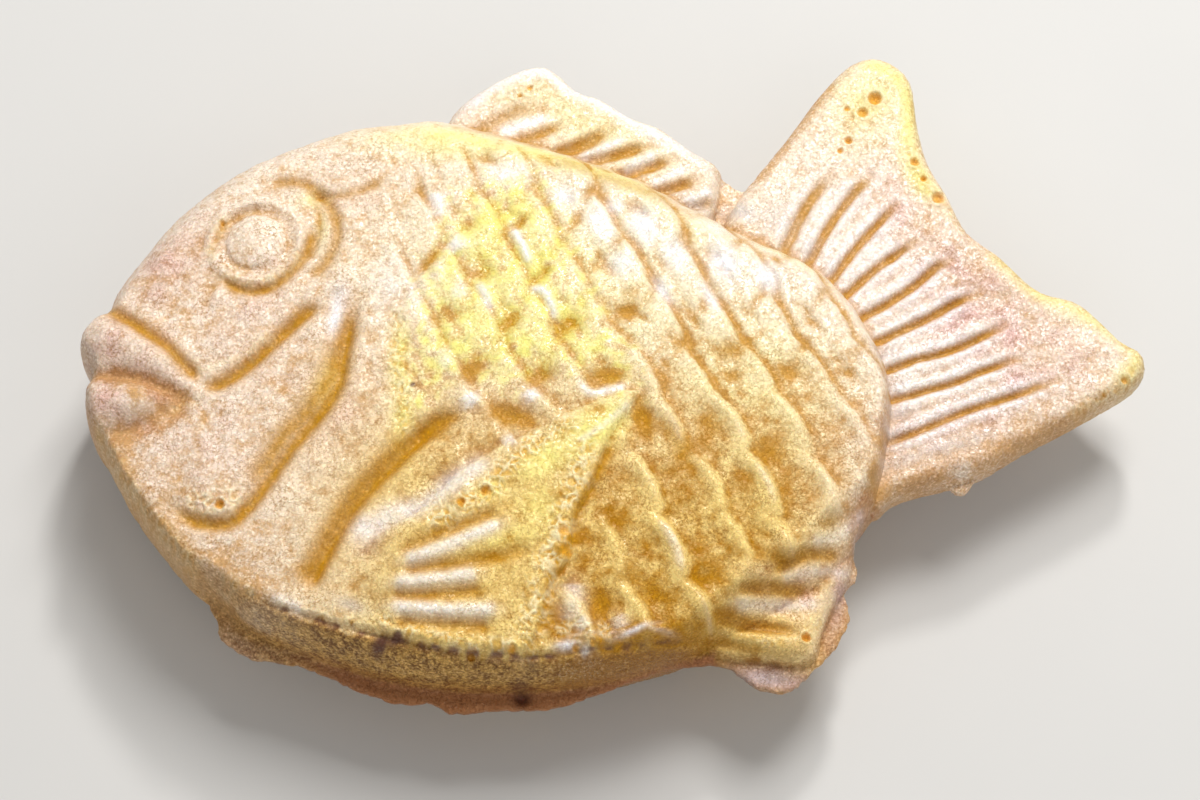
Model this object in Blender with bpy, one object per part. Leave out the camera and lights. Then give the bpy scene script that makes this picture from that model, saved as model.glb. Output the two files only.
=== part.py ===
"""Custard taiyaki: a fish-shaped cake in one piece, lying on its side.

The cake is baked between two halves of a mould. Its two faces mirror each other
across a seam, and a thin flash of batter runs round the outline in the seam.
The head points to -X, the tail to +X, the back to +Y and the belly to -Y. The
underside is pressed flat where the cake rests. The origin is below the middle of
the cake's plan, on the surface that it rests on.

Plan sizes and heights are in millimetres. Heights are counted from the seam, and
the finished plan is moved so that its middle is at the origin.
"""

import math

import bpy
import numpy as np
from mathutils import Vector
from mathutils.geometry import delaunay_2d_cdt

MM = 0.001

# Thickness
SEAM_HEIGHT = 14.9
FLASH_HALF = 0.65
FLASH_LIP = 0.25
FLASH_ROUND = 0.7
BODY_WALL = 9.3
BODY_CROWN = 5.6
FIN_RISE = 4.6

# How far in from its outline each wall takes to reach its full height
BACK_WALL_RUN = 6.0
BELLY_WALL_RUN = 3.6
TAIL_END_WALL_RUN = 2.2
JAW_WALL_RUN = 2.2
FIN_WALL_RUN = 3.0
WALL_SQUARENESS = 2.3

# Where one wall's run gives way to the next: a start, and the length it takes
BELLY_TO_BACK = (-8.0, 30.0)
TAIL_END_TO_BACK = (36.0, 20.0)
BELLY_TO_TAIL_END = (4.0, 14.0)
TAIL_END_TOP = (8.0, 20.0)
BELLY_TO_JAW = (-44.0, 12.0)
JAW_TOP = (14.0, 12.0)

# The ellipse that the crown of the body swells over
CROWN_CENTRE = (-20.0, -1.5)
CROWN_RADII = (63.0, 46.0)
CROWN_FULLNESS = 0.8

# Outer outline, stretch by stretch and clockwise seen from above: from the upper
# lip over the back to the tail, and along the belly to the lips
BROW = (
    (-71.3, 9.4), (-70.9, 11.6), (-68.5, 15.9), (-61.8, 24.8), (-52.2, 32.3), (-38.2, 38.1), (-29.0, 39.4),
    (-25.4, 39.8),
)
DORSAL_EDGE = (
    (-23.4, 41.6), (-16.4, 47.4), (-10.5, 49.6), (-7.6, 48.1), (-4.9, 45.4), (-1.7, 44.3),
    (2.7, 41.3), (7.1, 39.5), (11.4, 36.1), (16.0, 32.4),
)
TAIL_EDGE = (
    (19.5, 30.2), (24.8, 37.0), (30.8, 45.4), (35.6, 50.2), (39.6, 50.7), (43.8, 47.4),
    (44.7, 40.4), (46.0, 33.9), (48.6, 28.8), (51.3, 22.9), (55.5, 19.4), (61.0, 13.9),
    (66.2, 12.2), (69.4, 9.4), (72.2, 6.2), (75.2, 4.2), (75.0, 0.4), (68.8, -3.9),
    (57.2, -10.3), (51.4, -13.8),
)
TAIL_FLAKE = ((48.9, -16.3), (46.2, -15.2))
TAIL_HEEL = ((40.1, -17.0), (36.6, -19.6))
ANAL_EDGE = (
    (34.2, -22.0), (33.6, -25.6), (34.1, -28.4), (32.4, -30.4), (32.7, -34.3),
    (31.1, -37.8), (27.6, -41.6), (24.0, -44.5), (19.6, -44.0), (15.4, -41.0),
)
BELLY_EDGE = (
    (10.8, -40.8), (6.5, -41.6), (-1.6, -44.6), (-8.5, -46.8), (-15.3, -47.1), (-22.3, -47.4),
    (-24.8, -46.0), (-28.9, -46.2), (-36.0, -43.8), (-42.7, -40.9), (-49.5, -39.8),
    (-53.7, -37.1), (-55.0, -33.4),
)
JAW = ((-58.2, -29.6), (-64.1, -22.8), (-68.2, -17.0), (-70.7, -12.2), (-72.4, -9.8))
LIPS_EDGE = ((-73.7, -5.4), (-73.7, -2.6), (-72.7, -1.0), (-74.3, 1.2), (-75.0, 4.1), (-73.7, 7.2))

# Foot of the body's wall where it leaves the outer outline: up the tail end
# and along the belly. The body reaches the outline everywhere else.
BODY_BACK = ((-20.0, 38.4), (-8.0, 34.8), (3.0, 30.6), (12.0, 25.6), (20.0, 21.0), (29.4, 16.0))
BODY_REAR = ((34.8, 9.6), (38.2, 2.4), (39.2, -3.6), (38.4, -10.4), (36.6, -17.6), (34.0, -24.0))
BODY_BELLY = (
    (29.0, -30.0), (22.0, -34.6), (13.6, -38.8), (4.0, -42.0), (-4.4, -43.9), (-14.0, -44.6),
    (-24.0, -44.1), (-33.0, -42.4), (-42.0, -39.4), (-49.0, -36.6), (-54.6, -31.6),
)

# Roots of the fins, hidden under the body
DORSAL_ROOT = ((12.0, 22.0), (-6.0, 30.0), (-24.0, 36.0))
TAIL_ROOT = ((32.0, -18.0), (32.0, 0.0), (26.0, 14.0), (16.0, 22.0))
ANAL_FIN = (
    (36.0, -19.6), (33.6, -24.0), (33.0, -28.2), (30.8, -32.4), (28.9, -36.4), (27.4, -40.6),
    (19.8, -40.3), (12.6, -38.9), (16.0, -32.0), (28.0, -22.0),
)

# Grooves of the fins: foot x, foot y, direction in degrees, length
TAIL_GROOVES = (
    (24.0, 19.8, 55.0, 13.2), (28.4, 17.0, 56.0, 15.6), (30.8, 14.4, 48.0, 15.4), (33.0, 12.2, 41.0, 13.4),
    (35.4, 8.9, 32.0, 15.3), (36.8, 4.9, 24.0, 17.0), (38.3, 1.0, 20.5, 17.8), (39.0, -3.9, 21.0, 26.5),
    (36.8, -10.3, 19.5, 24.8), (34.6, -14.8, 11.0, 9.0),
)
DORSAL_GROOVE_FIRST = (-18.0, 38.6)
DORSAL_GROOVE_LAST = (11.0, 26.2)
DORSAL_GROOVE_LENGTHS = (6.8, 4.2, 7.0, 5.8, 7.0, 5.2, 3.6)
DORSAL_GROOVE_ANGLES = (30.0, 14.0)
ANAL_GROOVES = ((25.0, -28.2, 9.0, 5.8), (17.2, -33.4, 3.0, 10.2), (15.4, -36.6, -8.0, 12.0))
FIN_GROOVE_WIDTH = 1.0
FIN_GROOVE_DEPTH = 1.5
FIN_GROOVE_MARGIN = 2.0
FIN_GROOVE_FADE = 0.85
FIN_BANK_SHARE = 0.3

# Eye
EYE = (-49.7, 16.9)
PUPIL_RADIUS = 4.3
PUPIL_RISE = 1.6
EYE_RING_RADIUS = 6.4
EYE_RING_RISE = 0.55
EYE_RING_WIDTH = 0.8

# Lines pressed into the head: depth, half width and course
LINE_END_SHARE = 0.25
HEAD_LINES = (
    (
        "over the upper lip", 1.3, 1.1,
        ((-72.4, 9.0), (-67.6, 5.8), (-64.6, 3.7), (-61.4, 1.2), (-58.6, -1.6), (-56.2, -4.0)),
    ),
    ("mouth", 1.1, 1.1, ((-74.0, -1.4), (-69.6, -1.6), (-66.0, -2.7), (-61.5, -4.6), (-57.4, -5.6))),
    (
        "under the lower lip", 1.3, 1.4,
        ((-73.0, -10.9), (-69.2, -10.9), (-65.1, -10.0), (-61.2, -8.3), (-57.8, -6.5)),
    ),
    ("cheek", 1.5, 1.2, ((-56.4, -4.4), (-54.0, -4.3), (-49.8, -1.5), (-44.5, 3.8), (-40.4, 7.8))),
    (
        "under the eye", 1.0, 0.9,
        ((-54.8, 11.8), (-51.6, 9.7), (-48.5, 9.5), (-45.6, 11.0), (-42.6, 15.0), (-41.6, 19.6)),
    ),
    (
        "outer eye", 0.8, 0.8,
        ((-42.8, 10.8), (-40.0, 13.2), (-38.4, 17.6), (-39.4, 22.0), (-43.6, 26.2), (-49.2, 26.0)),
    ),
    ("eyelid", 0.6, 0.7, ((-56.4, 14.2), (-54.5, 19.2), (-51.4, 21.6), (-48.6, 22.0))),
    ("brow", 0.5, 0.7, ((-39.4, 24.0), (-36.2, 24.6), (-32.0, 26.4))),
    (
        "gill", 1.5, 1.3,
        (
            (-35.4, 8.6), (-36.6, 0.9), (-38.4, -5.6), (-44.5, -13.5), (-49.0, -21.0), (-52.0, -23.9),
            (-56.4, -23.6), (-61.2, -20.4),
        ),
    ),
    (
        "gill cover", 1.8, 1.6,
        ((-19.6, -8.8), (-23.6, -9.8), (-27.6, -14.0), (-34.0, -20.8), (-37.6, -26.6), (-41.4, -34.4)),
    ),
)
LIP_ROLLS = (
    ("upper", 2.0, 3.2, ((-73.4, 4.4), (-68.0, 2.4), (-62.6, -0.7), (-59.2, -3.2))),
    ("lower", 1.6, 2.7, ((-73.0, -5.6), (-67.6, -6.2), (-61.6, -6.4))),
)
LIP_END_FADE = 0.25
JOWL = (-53.4, -20.0)
JOWL_RISE = 0.8
JOWL_RADIUS = 4.0

# Pectoral fin: outline, grooves and how far it stands off the flank
PECTORAL = (
    (-34.6, -33.0), (-31.2, -26.0), (-25.6, -22.4), (-19.3, -16.2), (-10.0, -11.2), (-3.1, -7.6),
    (3.8, -5.6), (-0.3, -12.4), (-2.6, -18.9), (-5.3, -24.5), (-5.9, -29.0), (-8.4, -33.0),
    (-9.7, -38.0), (-12.4, -42.2), (-19.0, -41.9), (-28.4, -39.8), (-35.0, -36.8),
)
PECTORAL_RISE = 1.7
PECTORAL_EDGE_RUN = 1.5
PECTORAL_FOOT_X = -36.0
PECTORAL_FOOT_RUN = 8.0
PECTORAL_GROOVES = (
    ((-29.4, -28.4), (-23.2, -26.3), (-13.8, -22.6)),
    ((-30.6, -31.6), (-23.1, -30.1), (-11.4, -28.0)),
    ((-30.4, -34.4), (-21.7, -33.7), (-15.4, -33.0)),
    ((-29.8, -36.9), (-25.0, -37.3), (-15.6, -37.8)),
)
PECTORAL_GROOVE_DEPTH = 1.0
PECTORAL_GROOVE_WIDTH = 0.85

# Scales: the dimple behind one scale, the steps to the next place in its row and
# to the next row, how far before the dimple the scale's free edge lies, how far
# the scale reaches forward and to each side, and its rise
SCALE_START = (-13.4, 5.6)
SCALE_STEP = (8.3, 0.1)
ROW_STEP = (4.05, -7.5)
ROW_GROWTH = -0.2
SCALE_ROWS = (-3, 5)
SCALE_PLACES = (-5, 8)
SCALE_SETBACK = 3.2
SCALE_REACH = 5.6
SCALE_UPPER_WIDTH = 10.0
SCALE_LOWER_WIDTH = 7.2
SCALE_RISE = 1.7
SCALE_SINK = 0.6
SCALE_FOOT = 0.12
SCALE_SWEEP = 1.5
SCALE_EDGE_POWER = 6
SCALE_FIELD = (
    (-30.0, 27.0), (-32.0, 14.0), (-31.5, -2.0), (-27.0, -9.0), (-16.0, -12.0), (-8.0, -20.0), (-14.0, -42.0),
    (4.0, -44.0), (22.0, -36.0), (36.0, -25.0), (40.0, -6.0), (34.0, 14.0), (18.0, 24.0), (0.0, 28.0),
)
SCALE_FIELD_FADE = 5.0
SCALE_FIN_GAP = 1.5
SCALE_BORDER = 1.6
SCALE_BORDER_FADE = 3.0

# Facets
GRID_STEP = 0.95
RIM_STEP = 1.0
FACE_BUDGET = 11400
RIM_GAP_SHARE = 0.6
CURVE_SUBSTEPS = 4
MEET_DISTANCE = 1e-5
FLAT_CATCH = 0.06

CRUST_COLOUR = (0.72, 0.52, 0.28, 1.0)
CRUST_ROUGHNESS = 0.55


def smooth_curve(points, step, closed):
    """Points a step apart on a smooth curve through the given points."""
    knots = [np.array(point, float) for point in points]
    if closed:
        before, after = knots[-1], [knots[0], knots[1]]
    else:
        before, after = 2 * knots[0] - knots[1], [2 * knots[-1] - knots[-2]]
    chain = [before] + knots + after
    course = []
    for index in range(1, len(chain) - 2):
        previous, start, end, following = chain[index - 1:index + 3]
        chord = np.linalg.norm(end - start)
        tangent_in = (end - previous) / (chord + np.linalg.norm(start - previous)) * chord
        tangent_out = (following - start) / (chord + np.linalg.norm(following - end)) * chord
        pieces = max(2, int(math.ceil(chord / step * CURVE_SUBSTEPS)))
        for piece in range(pieces):
            t = piece / pieces
            course.append(
                (2 * t**3 - 3 * t**2 + 1) * start + (t**3 - 2 * t**2 + t) * tangent_in
                + (3 * t**2 - 2 * t**3) * end + (t**3 - t**2) * tangent_out
            )
    course.append(knots[0] if closed else knots[-1])
    course = np.array(course)
    lengths = np.concatenate(([0.0], np.cumsum(np.linalg.norm(np.diff(course, axis=0), axis=1))))
    count = max(3, int(round(lengths[-1] / step)))
    stops = np.linspace(0.0, lengths[-1], count + 1)
    even = np.stack([np.interp(stops, lengths, course[:, axis]) for axis in (0, 1)], axis=1)
    return even[:-1] if closed else even


def nearest_on_segments(x, y, starts, ends):
    """Distance to the nearest of some segments, and the segment and share of it."""
    best = np.full(x.shape, np.inf)
    which = np.zeros(x.shape, int)
    share = np.zeros(x.shape)
    for index, (start, end) in enumerate(zip(starts, ends)):
        run = end - start
        t = ((x - start[0]) * run[0] + (y - start[1]) * run[1]) / max(run @ run, 1e-12)
        t = np.clip(t, 0.0, 1.0)
        gap = (x - start[0] - t * run[0])**2 + (y - start[1] - t * run[1])**2
        closer = gap < best
        best[closer] = gap[closer]
        which[closer] = index
        share[closer] = t[closer]
    return np.sqrt(best), which, share


def depth_inside(x, y, loop):
    """Distance to a closed loop, positive inside it and negative outside."""
    following = np.roll(loop, -1, axis=0)
    distance, _, _ = nearest_on_segments(x, y, loop, following)
    inside = np.zeros(x.shape, bool)
    for start, end in zip(loop, following):
        crosses = (start[1] > y) != (end[1] > y)
        with np.errstate(divide="ignore", invalid="ignore"):
            edge_x = start[0] + (y - start[1]) / (end[1] - start[1]) * (end[0] - start[0])
        inside ^= crosses & (x < edge_x)
    return np.where(inside, distance, -distance)


def along_line(x, y, line):
    """Distance to an open line, and how far along it the nearest point is."""
    distance, which, share = nearest_on_segments(x, y, line[:-1], line[1:])
    return distance, (which + share) / (len(line) - 1)


def ease(t):
    """Smooth step from 0 to 1."""
    t = np.clip(t, 0.0, 1.0)
    return t * t * (3 - 2 * t)


def rounded_step(depth, run):
    """Rise from 0 to 1 with a steep foot and a rounded shoulder."""
    t = np.clip(depth / run, 0.0, 1.0)
    return (1 - (1 - t)**WALL_SQUARENESS)**(1 / WALL_SQUARENESS)


def furrow(x, y, points, half_width, end_fade=0.12):
    """Cross section of a pressed line, 1 on its middle and fading at its ends."""
    line = smooth_curve(points, half_width, closed=False)
    distance, place = along_line(x, y, line)
    ends = ease(place / end_fade) * ease((1 - place) / end_fade)
    return np.exp(-(distance / half_width)**2) * (LINE_END_SHARE + (1 - LINE_END_SHARE) * ends)


def fin_groove(x, y, foot_x, foot_y, degrees, length, half_width):
    """A straight groove with raised banks that fades toward its far end."""
    angle = math.radians(degrees)
    along = (x - foot_x) * math.cos(angle) + (y - foot_y) * math.sin(angle)
    across = (y - foot_y) * math.cos(angle) - (x - foot_x) * math.sin(angle)
    beyond = along - np.clip(along, 0.0, length)
    fade = 1 - FIN_GROOVE_FADE * ease(along / length)
    distance = np.hypot(across, beyond)
    groove = np.exp(-(distance / half_width)**2)
    bank = np.exp(-((distance - 2 * half_width) / half_width)**2)
    return fade * (groove - FIN_BANK_SHARE * bank)


def outer_outline(step):
    """The whole outline of the cake, flash and all."""
    over_the_back = BROW + DORSAL_EDGE + TAIL_EDGE + TAIL_FLAKE + TAIL_HEEL
    along_the_belly = ANAL_EDGE + BELLY_EDGE + JAW + LIPS_EDGE
    return smooth_curve(over_the_back + along_the_belly, step, closed=True)


def body_outline(step):
    """Foot of the body's wall."""
    return smooth_curve(BROW + BODY_BACK + BODY_REAR + BODY_BELLY + JAW + LIPS_EDGE, step, closed=True)


def fin_plate(depth, grooves):
    """A fin's plate with its wall, its grooves kept clear of its edge."""
    cut = FIN_GROOVE_DEPTH * grooves * ease(depth / FIN_GROOVE_MARGIN)
    return FIN_RISE * rounded_step(depth, FIN_WALL_RUN) - cut


def tail_fin(x, y):
    depth = depth_inside(x, y, smooth_curve(TAIL_EDGE + TAIL_HEEL + TAIL_ROOT, 1.5, closed=True))
    grooves = np.zeros(x.shape)
    for foot_x, foot_y, degrees, length in TAIL_GROOVES:
        grooves += fin_groove(x, y, foot_x, foot_y, degrees, length, FIN_GROOVE_WIDTH)
    return fin_plate(depth, grooves)


def dorsal_fin(x, y):
    depth = depth_inside(x, y, smooth_curve(DORSAL_EDGE + DORSAL_ROOT, 1.5, closed=True))
    grooves = np.zeros(x.shape)
    last = len(DORSAL_GROOVE_LENGTHS) - 1
    for index, length in enumerate(DORSAL_GROOVE_LENGTHS):
        t = index / last
        foot_x = DORSAL_GROOVE_FIRST[0] * (1 - t) + DORSAL_GROOVE_LAST[0] * t
        foot_y = DORSAL_GROOVE_FIRST[1] * (1 - t) + DORSAL_GROOVE_LAST[1] * t
        degrees = DORSAL_GROOVE_ANGLES[0] * (1 - t) + DORSAL_GROOVE_ANGLES[1] * t
        grooves += fin_groove(x, y, foot_x, foot_y, degrees, length, FIN_GROOVE_WIDTH)
    return fin_plate(depth, grooves)


def anal_fin(x, y):
    depth = depth_inside(x, y, smooth_curve(ANAL_FIN, 1.5, closed=True))
    grooves = np.zeros(x.shape)
    for foot_x, foot_y, degrees, length in ANAL_GROOVES:
        grooves += fin_groove(x, y, foot_x, foot_y, degrees, length, FIN_GROOVE_WIDTH)
    return fin_plate(depth, grooves)


def scale_field(x, y, body_depth, pectoral_depth):
    """Where the flank carries scales, 0 to 1."""
    depth = depth_inside(x, y, smooth_curve(SCALE_FIELD, 2.0, closed=True))
    field = ease(depth / SCALE_FIELD_FADE) * ease((body_depth - SCALE_BORDER) / SCALE_BORDER_FADE)
    return field * ease(-pectoral_depth / SCALE_FIN_GAP)


def scales(x, y):
    """Overlapping scales, each rising toward its free edge on the tail side."""
    height = np.zeros(x.shape)
    for row in range(SCALE_ROWS[0], SCALE_ROWS[1] + 1):
        for place in range(SCALE_PLACES[0], SCALE_PLACES[1] + 1):
            from_x = x - SCALE_START[0] - place * SCALE_STEP[0] - row * ROW_STEP[0]
            from_y = y - SCALE_START[1] - place * SCALE_STEP[1] - row * (ROW_STEP[1] + abs(row) * ROW_GROWTH)
            along = (from_x + SCALE_SETBACK) / SCALE_REACH + 1
            across = from_y / np.where(from_y > 0, SCALE_UPPER_WIDTH, SCALE_LOWER_WIDTH)
            radius = np.clip(np.hypot(along, across), 0, 1)
            slope = SCALE_FOOT + (1 - SCALE_FOOT) * np.clip((along + 1) / 2, 0, 1)**SCALE_SWEEP
            height = np.maximum(height, slope * (1 - radius**SCALE_EDGE_POWER))
    return SCALE_RISE * height - SCALE_SINK


def pectoral_fin(x, y, depth):
    """The side fin: a raised blade with ribs, pressed onto the flank."""
    grooves = np.zeros(x.shape)
    for points in PECTORAL_GROOVES:
        grooves = np.maximum(grooves, furrow(x, y, points, PECTORAL_GROOVE_WIDTH))
    foot = ease((x - PECTORAL_FOOT_X) / PECTORAL_FOOT_RUN)
    return PECTORAL_RISE * foot * rounded_step(depth, PECTORAL_EDGE_RUN) - PECTORAL_GROOVE_DEPTH * grooves


def head(x, y):
    """Eye, lips, jowl and the lines pressed into the head."""
    height = np.zeros(x.shape)
    radius = np.hypot(x - EYE[0], y - EYE[1])
    height += PUPIL_RISE * np.sqrt(np.clip(1 - (radius / PUPIL_RADIUS)**2, 0, 1))
    height += EYE_RING_RISE * np.exp(-((radius - EYE_RING_RADIUS) / EYE_RING_WIDTH)**2)
    height += JOWL_RISE * np.exp(-((x - JOWL[0])**2 + (y - JOWL[1])**2) / JOWL_RADIUS**2)
    for _, rise, half_width, points in LIP_ROLLS:
        height += rise * furrow(x, y, points, half_width, end_fade=LIP_END_FADE)
    for _, depth, half_width, points in HEAD_LINES:
        height -= depth * furrow(x, y, points, half_width)
    return height


def wall_run(x, y):
    """How far in from the outline the body's wall reaches its full height."""
    back = ease((y - BELLY_TO_BACK[0]) / BELLY_TO_BACK[1])
    back = back * ease((TAIL_END_TO_BACK[0] - x) / TAIL_END_TO_BACK[1])
    tail_end = ease((x - BELLY_TO_TAIL_END[0]) / BELLY_TO_TAIL_END[1])
    tail_end = tail_end * ease((TAIL_END_TOP[0] - y) / TAIL_END_TOP[1])
    jaw = ease((BELLY_TO_JAW[0] - x) / BELLY_TO_JAW[1]) * ease((JAW_TOP[0] - y) / JAW_TOP[1])
    run = BELLY_WALL_RUN + (BACK_WALL_RUN - BELLY_WALL_RUN) * back
    run = run + (TAIL_END_WALL_RUN - BELLY_WALL_RUN) * tail_end
    return run + (JAW_WALL_RUN - run) * jaw


def body(x, y):
    """The body with its wall, crown and everything pressed into it."""
    depth = depth_inside(x, y, body_outline(1.5))
    pectoral_depth = depth_inside(x, y, smooth_curve(PECTORAL, 1.0, closed=True))
    run = wall_run(x, y)
    wall = BODY_WALL * rounded_step(depth, run)
    swell = 1 - ((x - CROWN_CENTRE[0]) / CROWN_RADII[0])**2 - ((y - CROWN_CENTRE[1]) / CROWN_RADII[1])**2
    crown = BODY_CROWN * np.clip(swell, 0, 1)**CROWN_FULLNESS
    surface = head(x, y) + pectoral_fin(x, y, pectoral_depth)
    surface += scales(x, y) * scale_field(x, y, depth, pectoral_depth)
    return wall + (crown + surface) * ease(depth / run)


def relief(x, y):
    """Height of a face above the seam."""
    rim_depth = depth_inside(x, y, outer_outline(1.0))
    height = FLASH_LIP + (FLASH_HALF - FLASH_LIP) * rounded_step(rim_depth, FLASH_ROUND)
    for form in (tail_fin, dorsal_fin, anal_fin, body):
        height = np.maximum(height, form(x, y))
    return height


def plan_mesh():
    """Triangles that fill the outline, and how many of their points lie on it."""
    rim = outer_outline(RIM_STEP)
    low = rim.min(axis=0)
    high = rim.max(axis=0)
    row_step = GRID_STEP * math.sqrt(3) / 2
    inner = []
    for row in range(int((high[1] - low[1]) / row_step) + 1):
        offset = GRID_STEP / 2 * (row % 2)
        for place in range(int((high[0] - low[0]) / GRID_STEP) + 1):
            inner.append((low[0] + offset + place * GRID_STEP, low[1] + row * row_step))
    inner = np.array(inner)
    inner = inner[depth_inside(inner[:, 0], inner[:, 1], rim) > RIM_GAP_SHARE * GRID_STEP]
    points = [Vector(point) for point in np.concatenate((rim, inner))]
    loop = [(index, (index + 1) % len(rim)) for index in range(len(rim))]
    plan, _, faces, _, _, _ = delaunay_2d_cdt(points, loop, [], 1, MEET_DISTANCE)
    return np.array([tuple(point) for point in plan]), [tuple(face) for face in faces], len(rim)


def cake_mesh():
    """Upper and lower face over one plan, joined by the thin edge of the flash."""
    plan, faces, rim_count = plan_mesh()
    height = relief(plan[:, 0], plan[:, 1])
    upper = SEAM_HEIGHT + height
    lower = np.maximum(SEAM_HEIGHT - height, 0.0)
    count = len(plan)
    centred = plan - (plan.min(axis=0) + plan.max(axis=0)) / 2
    vertices = [(x * MM, y * MM, z * MM) for (x, y), z in zip(centred, upper)]
    vertices += [(x * MM, y * MM, z * MM) for (x, y), z in zip(centred, lower)]
    triangles = list(faces)
    triangles += [tuple(index + count for index in reversed(face)) for face in faces]
    for index in range(rim_count):
        following = (index + 1) % rim_count
        triangles.append((index, following, index + count))
        triangles.append((following, following + count, index + count))
    mesh = bpy.data.meshes.new("taiyaki")
    mesh.from_pydata(vertices, [], triangles)
    mesh.validate()
    mesh.shade_smooth()
    return mesh


def crust_material():
    material = bpy.data.materials.new("browned_crust")
    material.use_nodes = True
    shader = material.node_tree.nodes["Principled BSDF"]
    shader.inputs["Base Color"].default_value = CRUST_COLOUR
    shader.inputs["Roughness"].default_value = CRUST_ROUGHNESS
    return material


def clear_scene():
    for item in list(bpy.data.objects):
        bpy.data.objects.remove(item, do_unlink=True)


def thin_out(cake, face_budget):
    """Give an object a mesh of fewer facets, fine where its surface curves."""
    fewer = cake.modifiers.new("fewer facets", "DECIMATE")
    fewer.ratio = face_budget / len(cake.data.polygons)
    thinned = cake.evaluated_get(bpy.context.evaluated_depsgraph_get())
    cake.data = bpy.data.meshes.new_from_object(thinned)
    cake.modifiers.remove(fewer)


def press_flat(mesh):
    """Put the corners that lie a hair off the resting surface exactly on it."""
    for vertex in mesh.vertices:
        if vertex.co.z < FLAT_CATCH * MM:
            vertex.co.z = 0.0


def make_taiyaki():
    mesh = cake_mesh()
    mesh.materials.append(crust_material())
    taiyaki = bpy.data.objects.new("taiyaki", mesh)
    bpy.context.scene.collection.objects.link(taiyaki)
    thin_out(taiyaki, FACE_BUDGET)
    press_flat(taiyaki.data)
    return taiyaki


clear_scene()
make_taiyaki()
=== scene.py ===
"""Custard taiyaki: the baked surface of the fish-shaped cake, its floor, light and camera.

The cake's plan is laid out in millimetres in the mould's own frame: head to -X, tail
to +X, back to +Y, belly to -Y, heights counted from the seam. PLAN_MIDDLE is the
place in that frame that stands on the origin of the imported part.
"""

import math

import bpy
import numpy as np
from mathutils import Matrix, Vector, noise
from mathutils.geometry import delaunay_2d_cdt


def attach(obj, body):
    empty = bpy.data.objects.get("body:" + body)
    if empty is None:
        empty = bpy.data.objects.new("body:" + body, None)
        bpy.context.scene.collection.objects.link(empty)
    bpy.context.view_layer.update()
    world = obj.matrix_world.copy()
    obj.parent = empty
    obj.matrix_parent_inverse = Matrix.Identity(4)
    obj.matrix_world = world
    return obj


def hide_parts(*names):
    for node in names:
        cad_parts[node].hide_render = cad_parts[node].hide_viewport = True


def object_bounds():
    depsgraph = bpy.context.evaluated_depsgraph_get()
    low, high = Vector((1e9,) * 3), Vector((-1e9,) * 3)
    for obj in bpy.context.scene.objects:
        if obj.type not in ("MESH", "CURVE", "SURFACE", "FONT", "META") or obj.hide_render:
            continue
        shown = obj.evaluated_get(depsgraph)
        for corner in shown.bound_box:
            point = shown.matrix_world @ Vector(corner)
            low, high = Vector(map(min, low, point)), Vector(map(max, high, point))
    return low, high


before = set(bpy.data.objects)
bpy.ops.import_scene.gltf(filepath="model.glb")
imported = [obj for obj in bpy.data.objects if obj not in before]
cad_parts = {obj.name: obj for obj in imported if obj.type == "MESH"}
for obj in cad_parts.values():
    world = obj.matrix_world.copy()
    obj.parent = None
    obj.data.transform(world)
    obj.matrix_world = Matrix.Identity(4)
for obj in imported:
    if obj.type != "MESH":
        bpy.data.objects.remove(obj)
CAD_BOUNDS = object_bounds()

MM = 0.001

# Thickness
SEAM_HEIGHT = 14.9
FLASH_HALF = 0.65
FLASH_LIP = 0.25
FLASH_ROUND = 0.7
BODY_WALL = 9.3
BODY_CROWN = 5.3
FIN_RISE = 4.6

# How far in from its outline each wall takes to reach its full height
BACK_WALL_RUN = 6.0
BELLY_WALL_RUN = 3.6
TAIL_END_WALL_RUN = 2.2
JAW_WALL_RUN = 2.2
FIN_WALL_RUN = 3.0
ANAL_WALL_RUN = 9.0
WALL_SQUARENESS = 2.3

# Where one wall's run gives way to the next. Each of these fades, and each one further
# down, is a start and the length that it takes, which is negative where it falls
BELLY_TO_BACK = (-8.0, 30.0)
TAIL_END_TO_BACK = (36.0, -20.0)
BELLY_TO_TAIL_END = (4.0, 14.0)
TAIL_END_TOP = (8.0, -20.0)
BELLY_TO_JAW = (-44.0, -12.0)
JAW_TOP = (14.0, -12.0)
ANAL_RUN_FADE = (-5.0, 9.0)

# The ellipse that the crown of the body swells over
CROWN_CENTRE = (-20.0, -1.5)
CROWN_RADII = (63.0, 46.0)
CROWN_FULLNESS = 0.8

# Outer outline, clockwise seen from above, from the upper lip over the back
BROW = (
    (-71.3, 9.4), (-70.9, 11.6), (-68.5, 15.9), (-61.8, 24.8), (-52.2, 32.3), (-38.2, 38.1), (-29, 39.4),
    (-25.4, 39.8),
)
DORSAL_EDGE = (
    (-23.4, 41.6), (-16.4, 47.4), (-10.5, 49.6), (-7.6, 48.1), (-4.9, 45.4), (-1.7, 44.3), (2.7, 41.3),
    (7.1, 39.5), (11.4, 36.1), (16, 32.4),
)
TAIL_EDGE = (
    (19.5, 30.2), (24.8, 37), (30.8, 45.4), (35.6, 50.2), (39.6, 50.7), (43.8, 47.4), (44.7, 40.4),
    (46, 33.9), (48.6, 28.8), (51.3, 22.9), (55.5, 19.4), (61, 13.9), (66.2, 12.2), (69.4, 9.4),
    (72.2, 6.2), (75.2, 4.2), (75, 0.4), (68.8, -3.9), (57.2, -10.3), (51.4, -13.8),
)
TAIL_FLAKE = ((48.9, -16.3), (46.2, -15.2))
TAIL_HEEL = ((40.1, -17), (36.6, -19.6))
ANAL_EDGE = (
    (34.2, -22), (33.6, -25.6), (34.1, -28.4), (32.4, -30.4), (32.7, -34.3), (31.1, -37.8), (27.6, -41.6),
    (24, -44.5), (19.6, -44), (15.4, -41),
)
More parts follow.
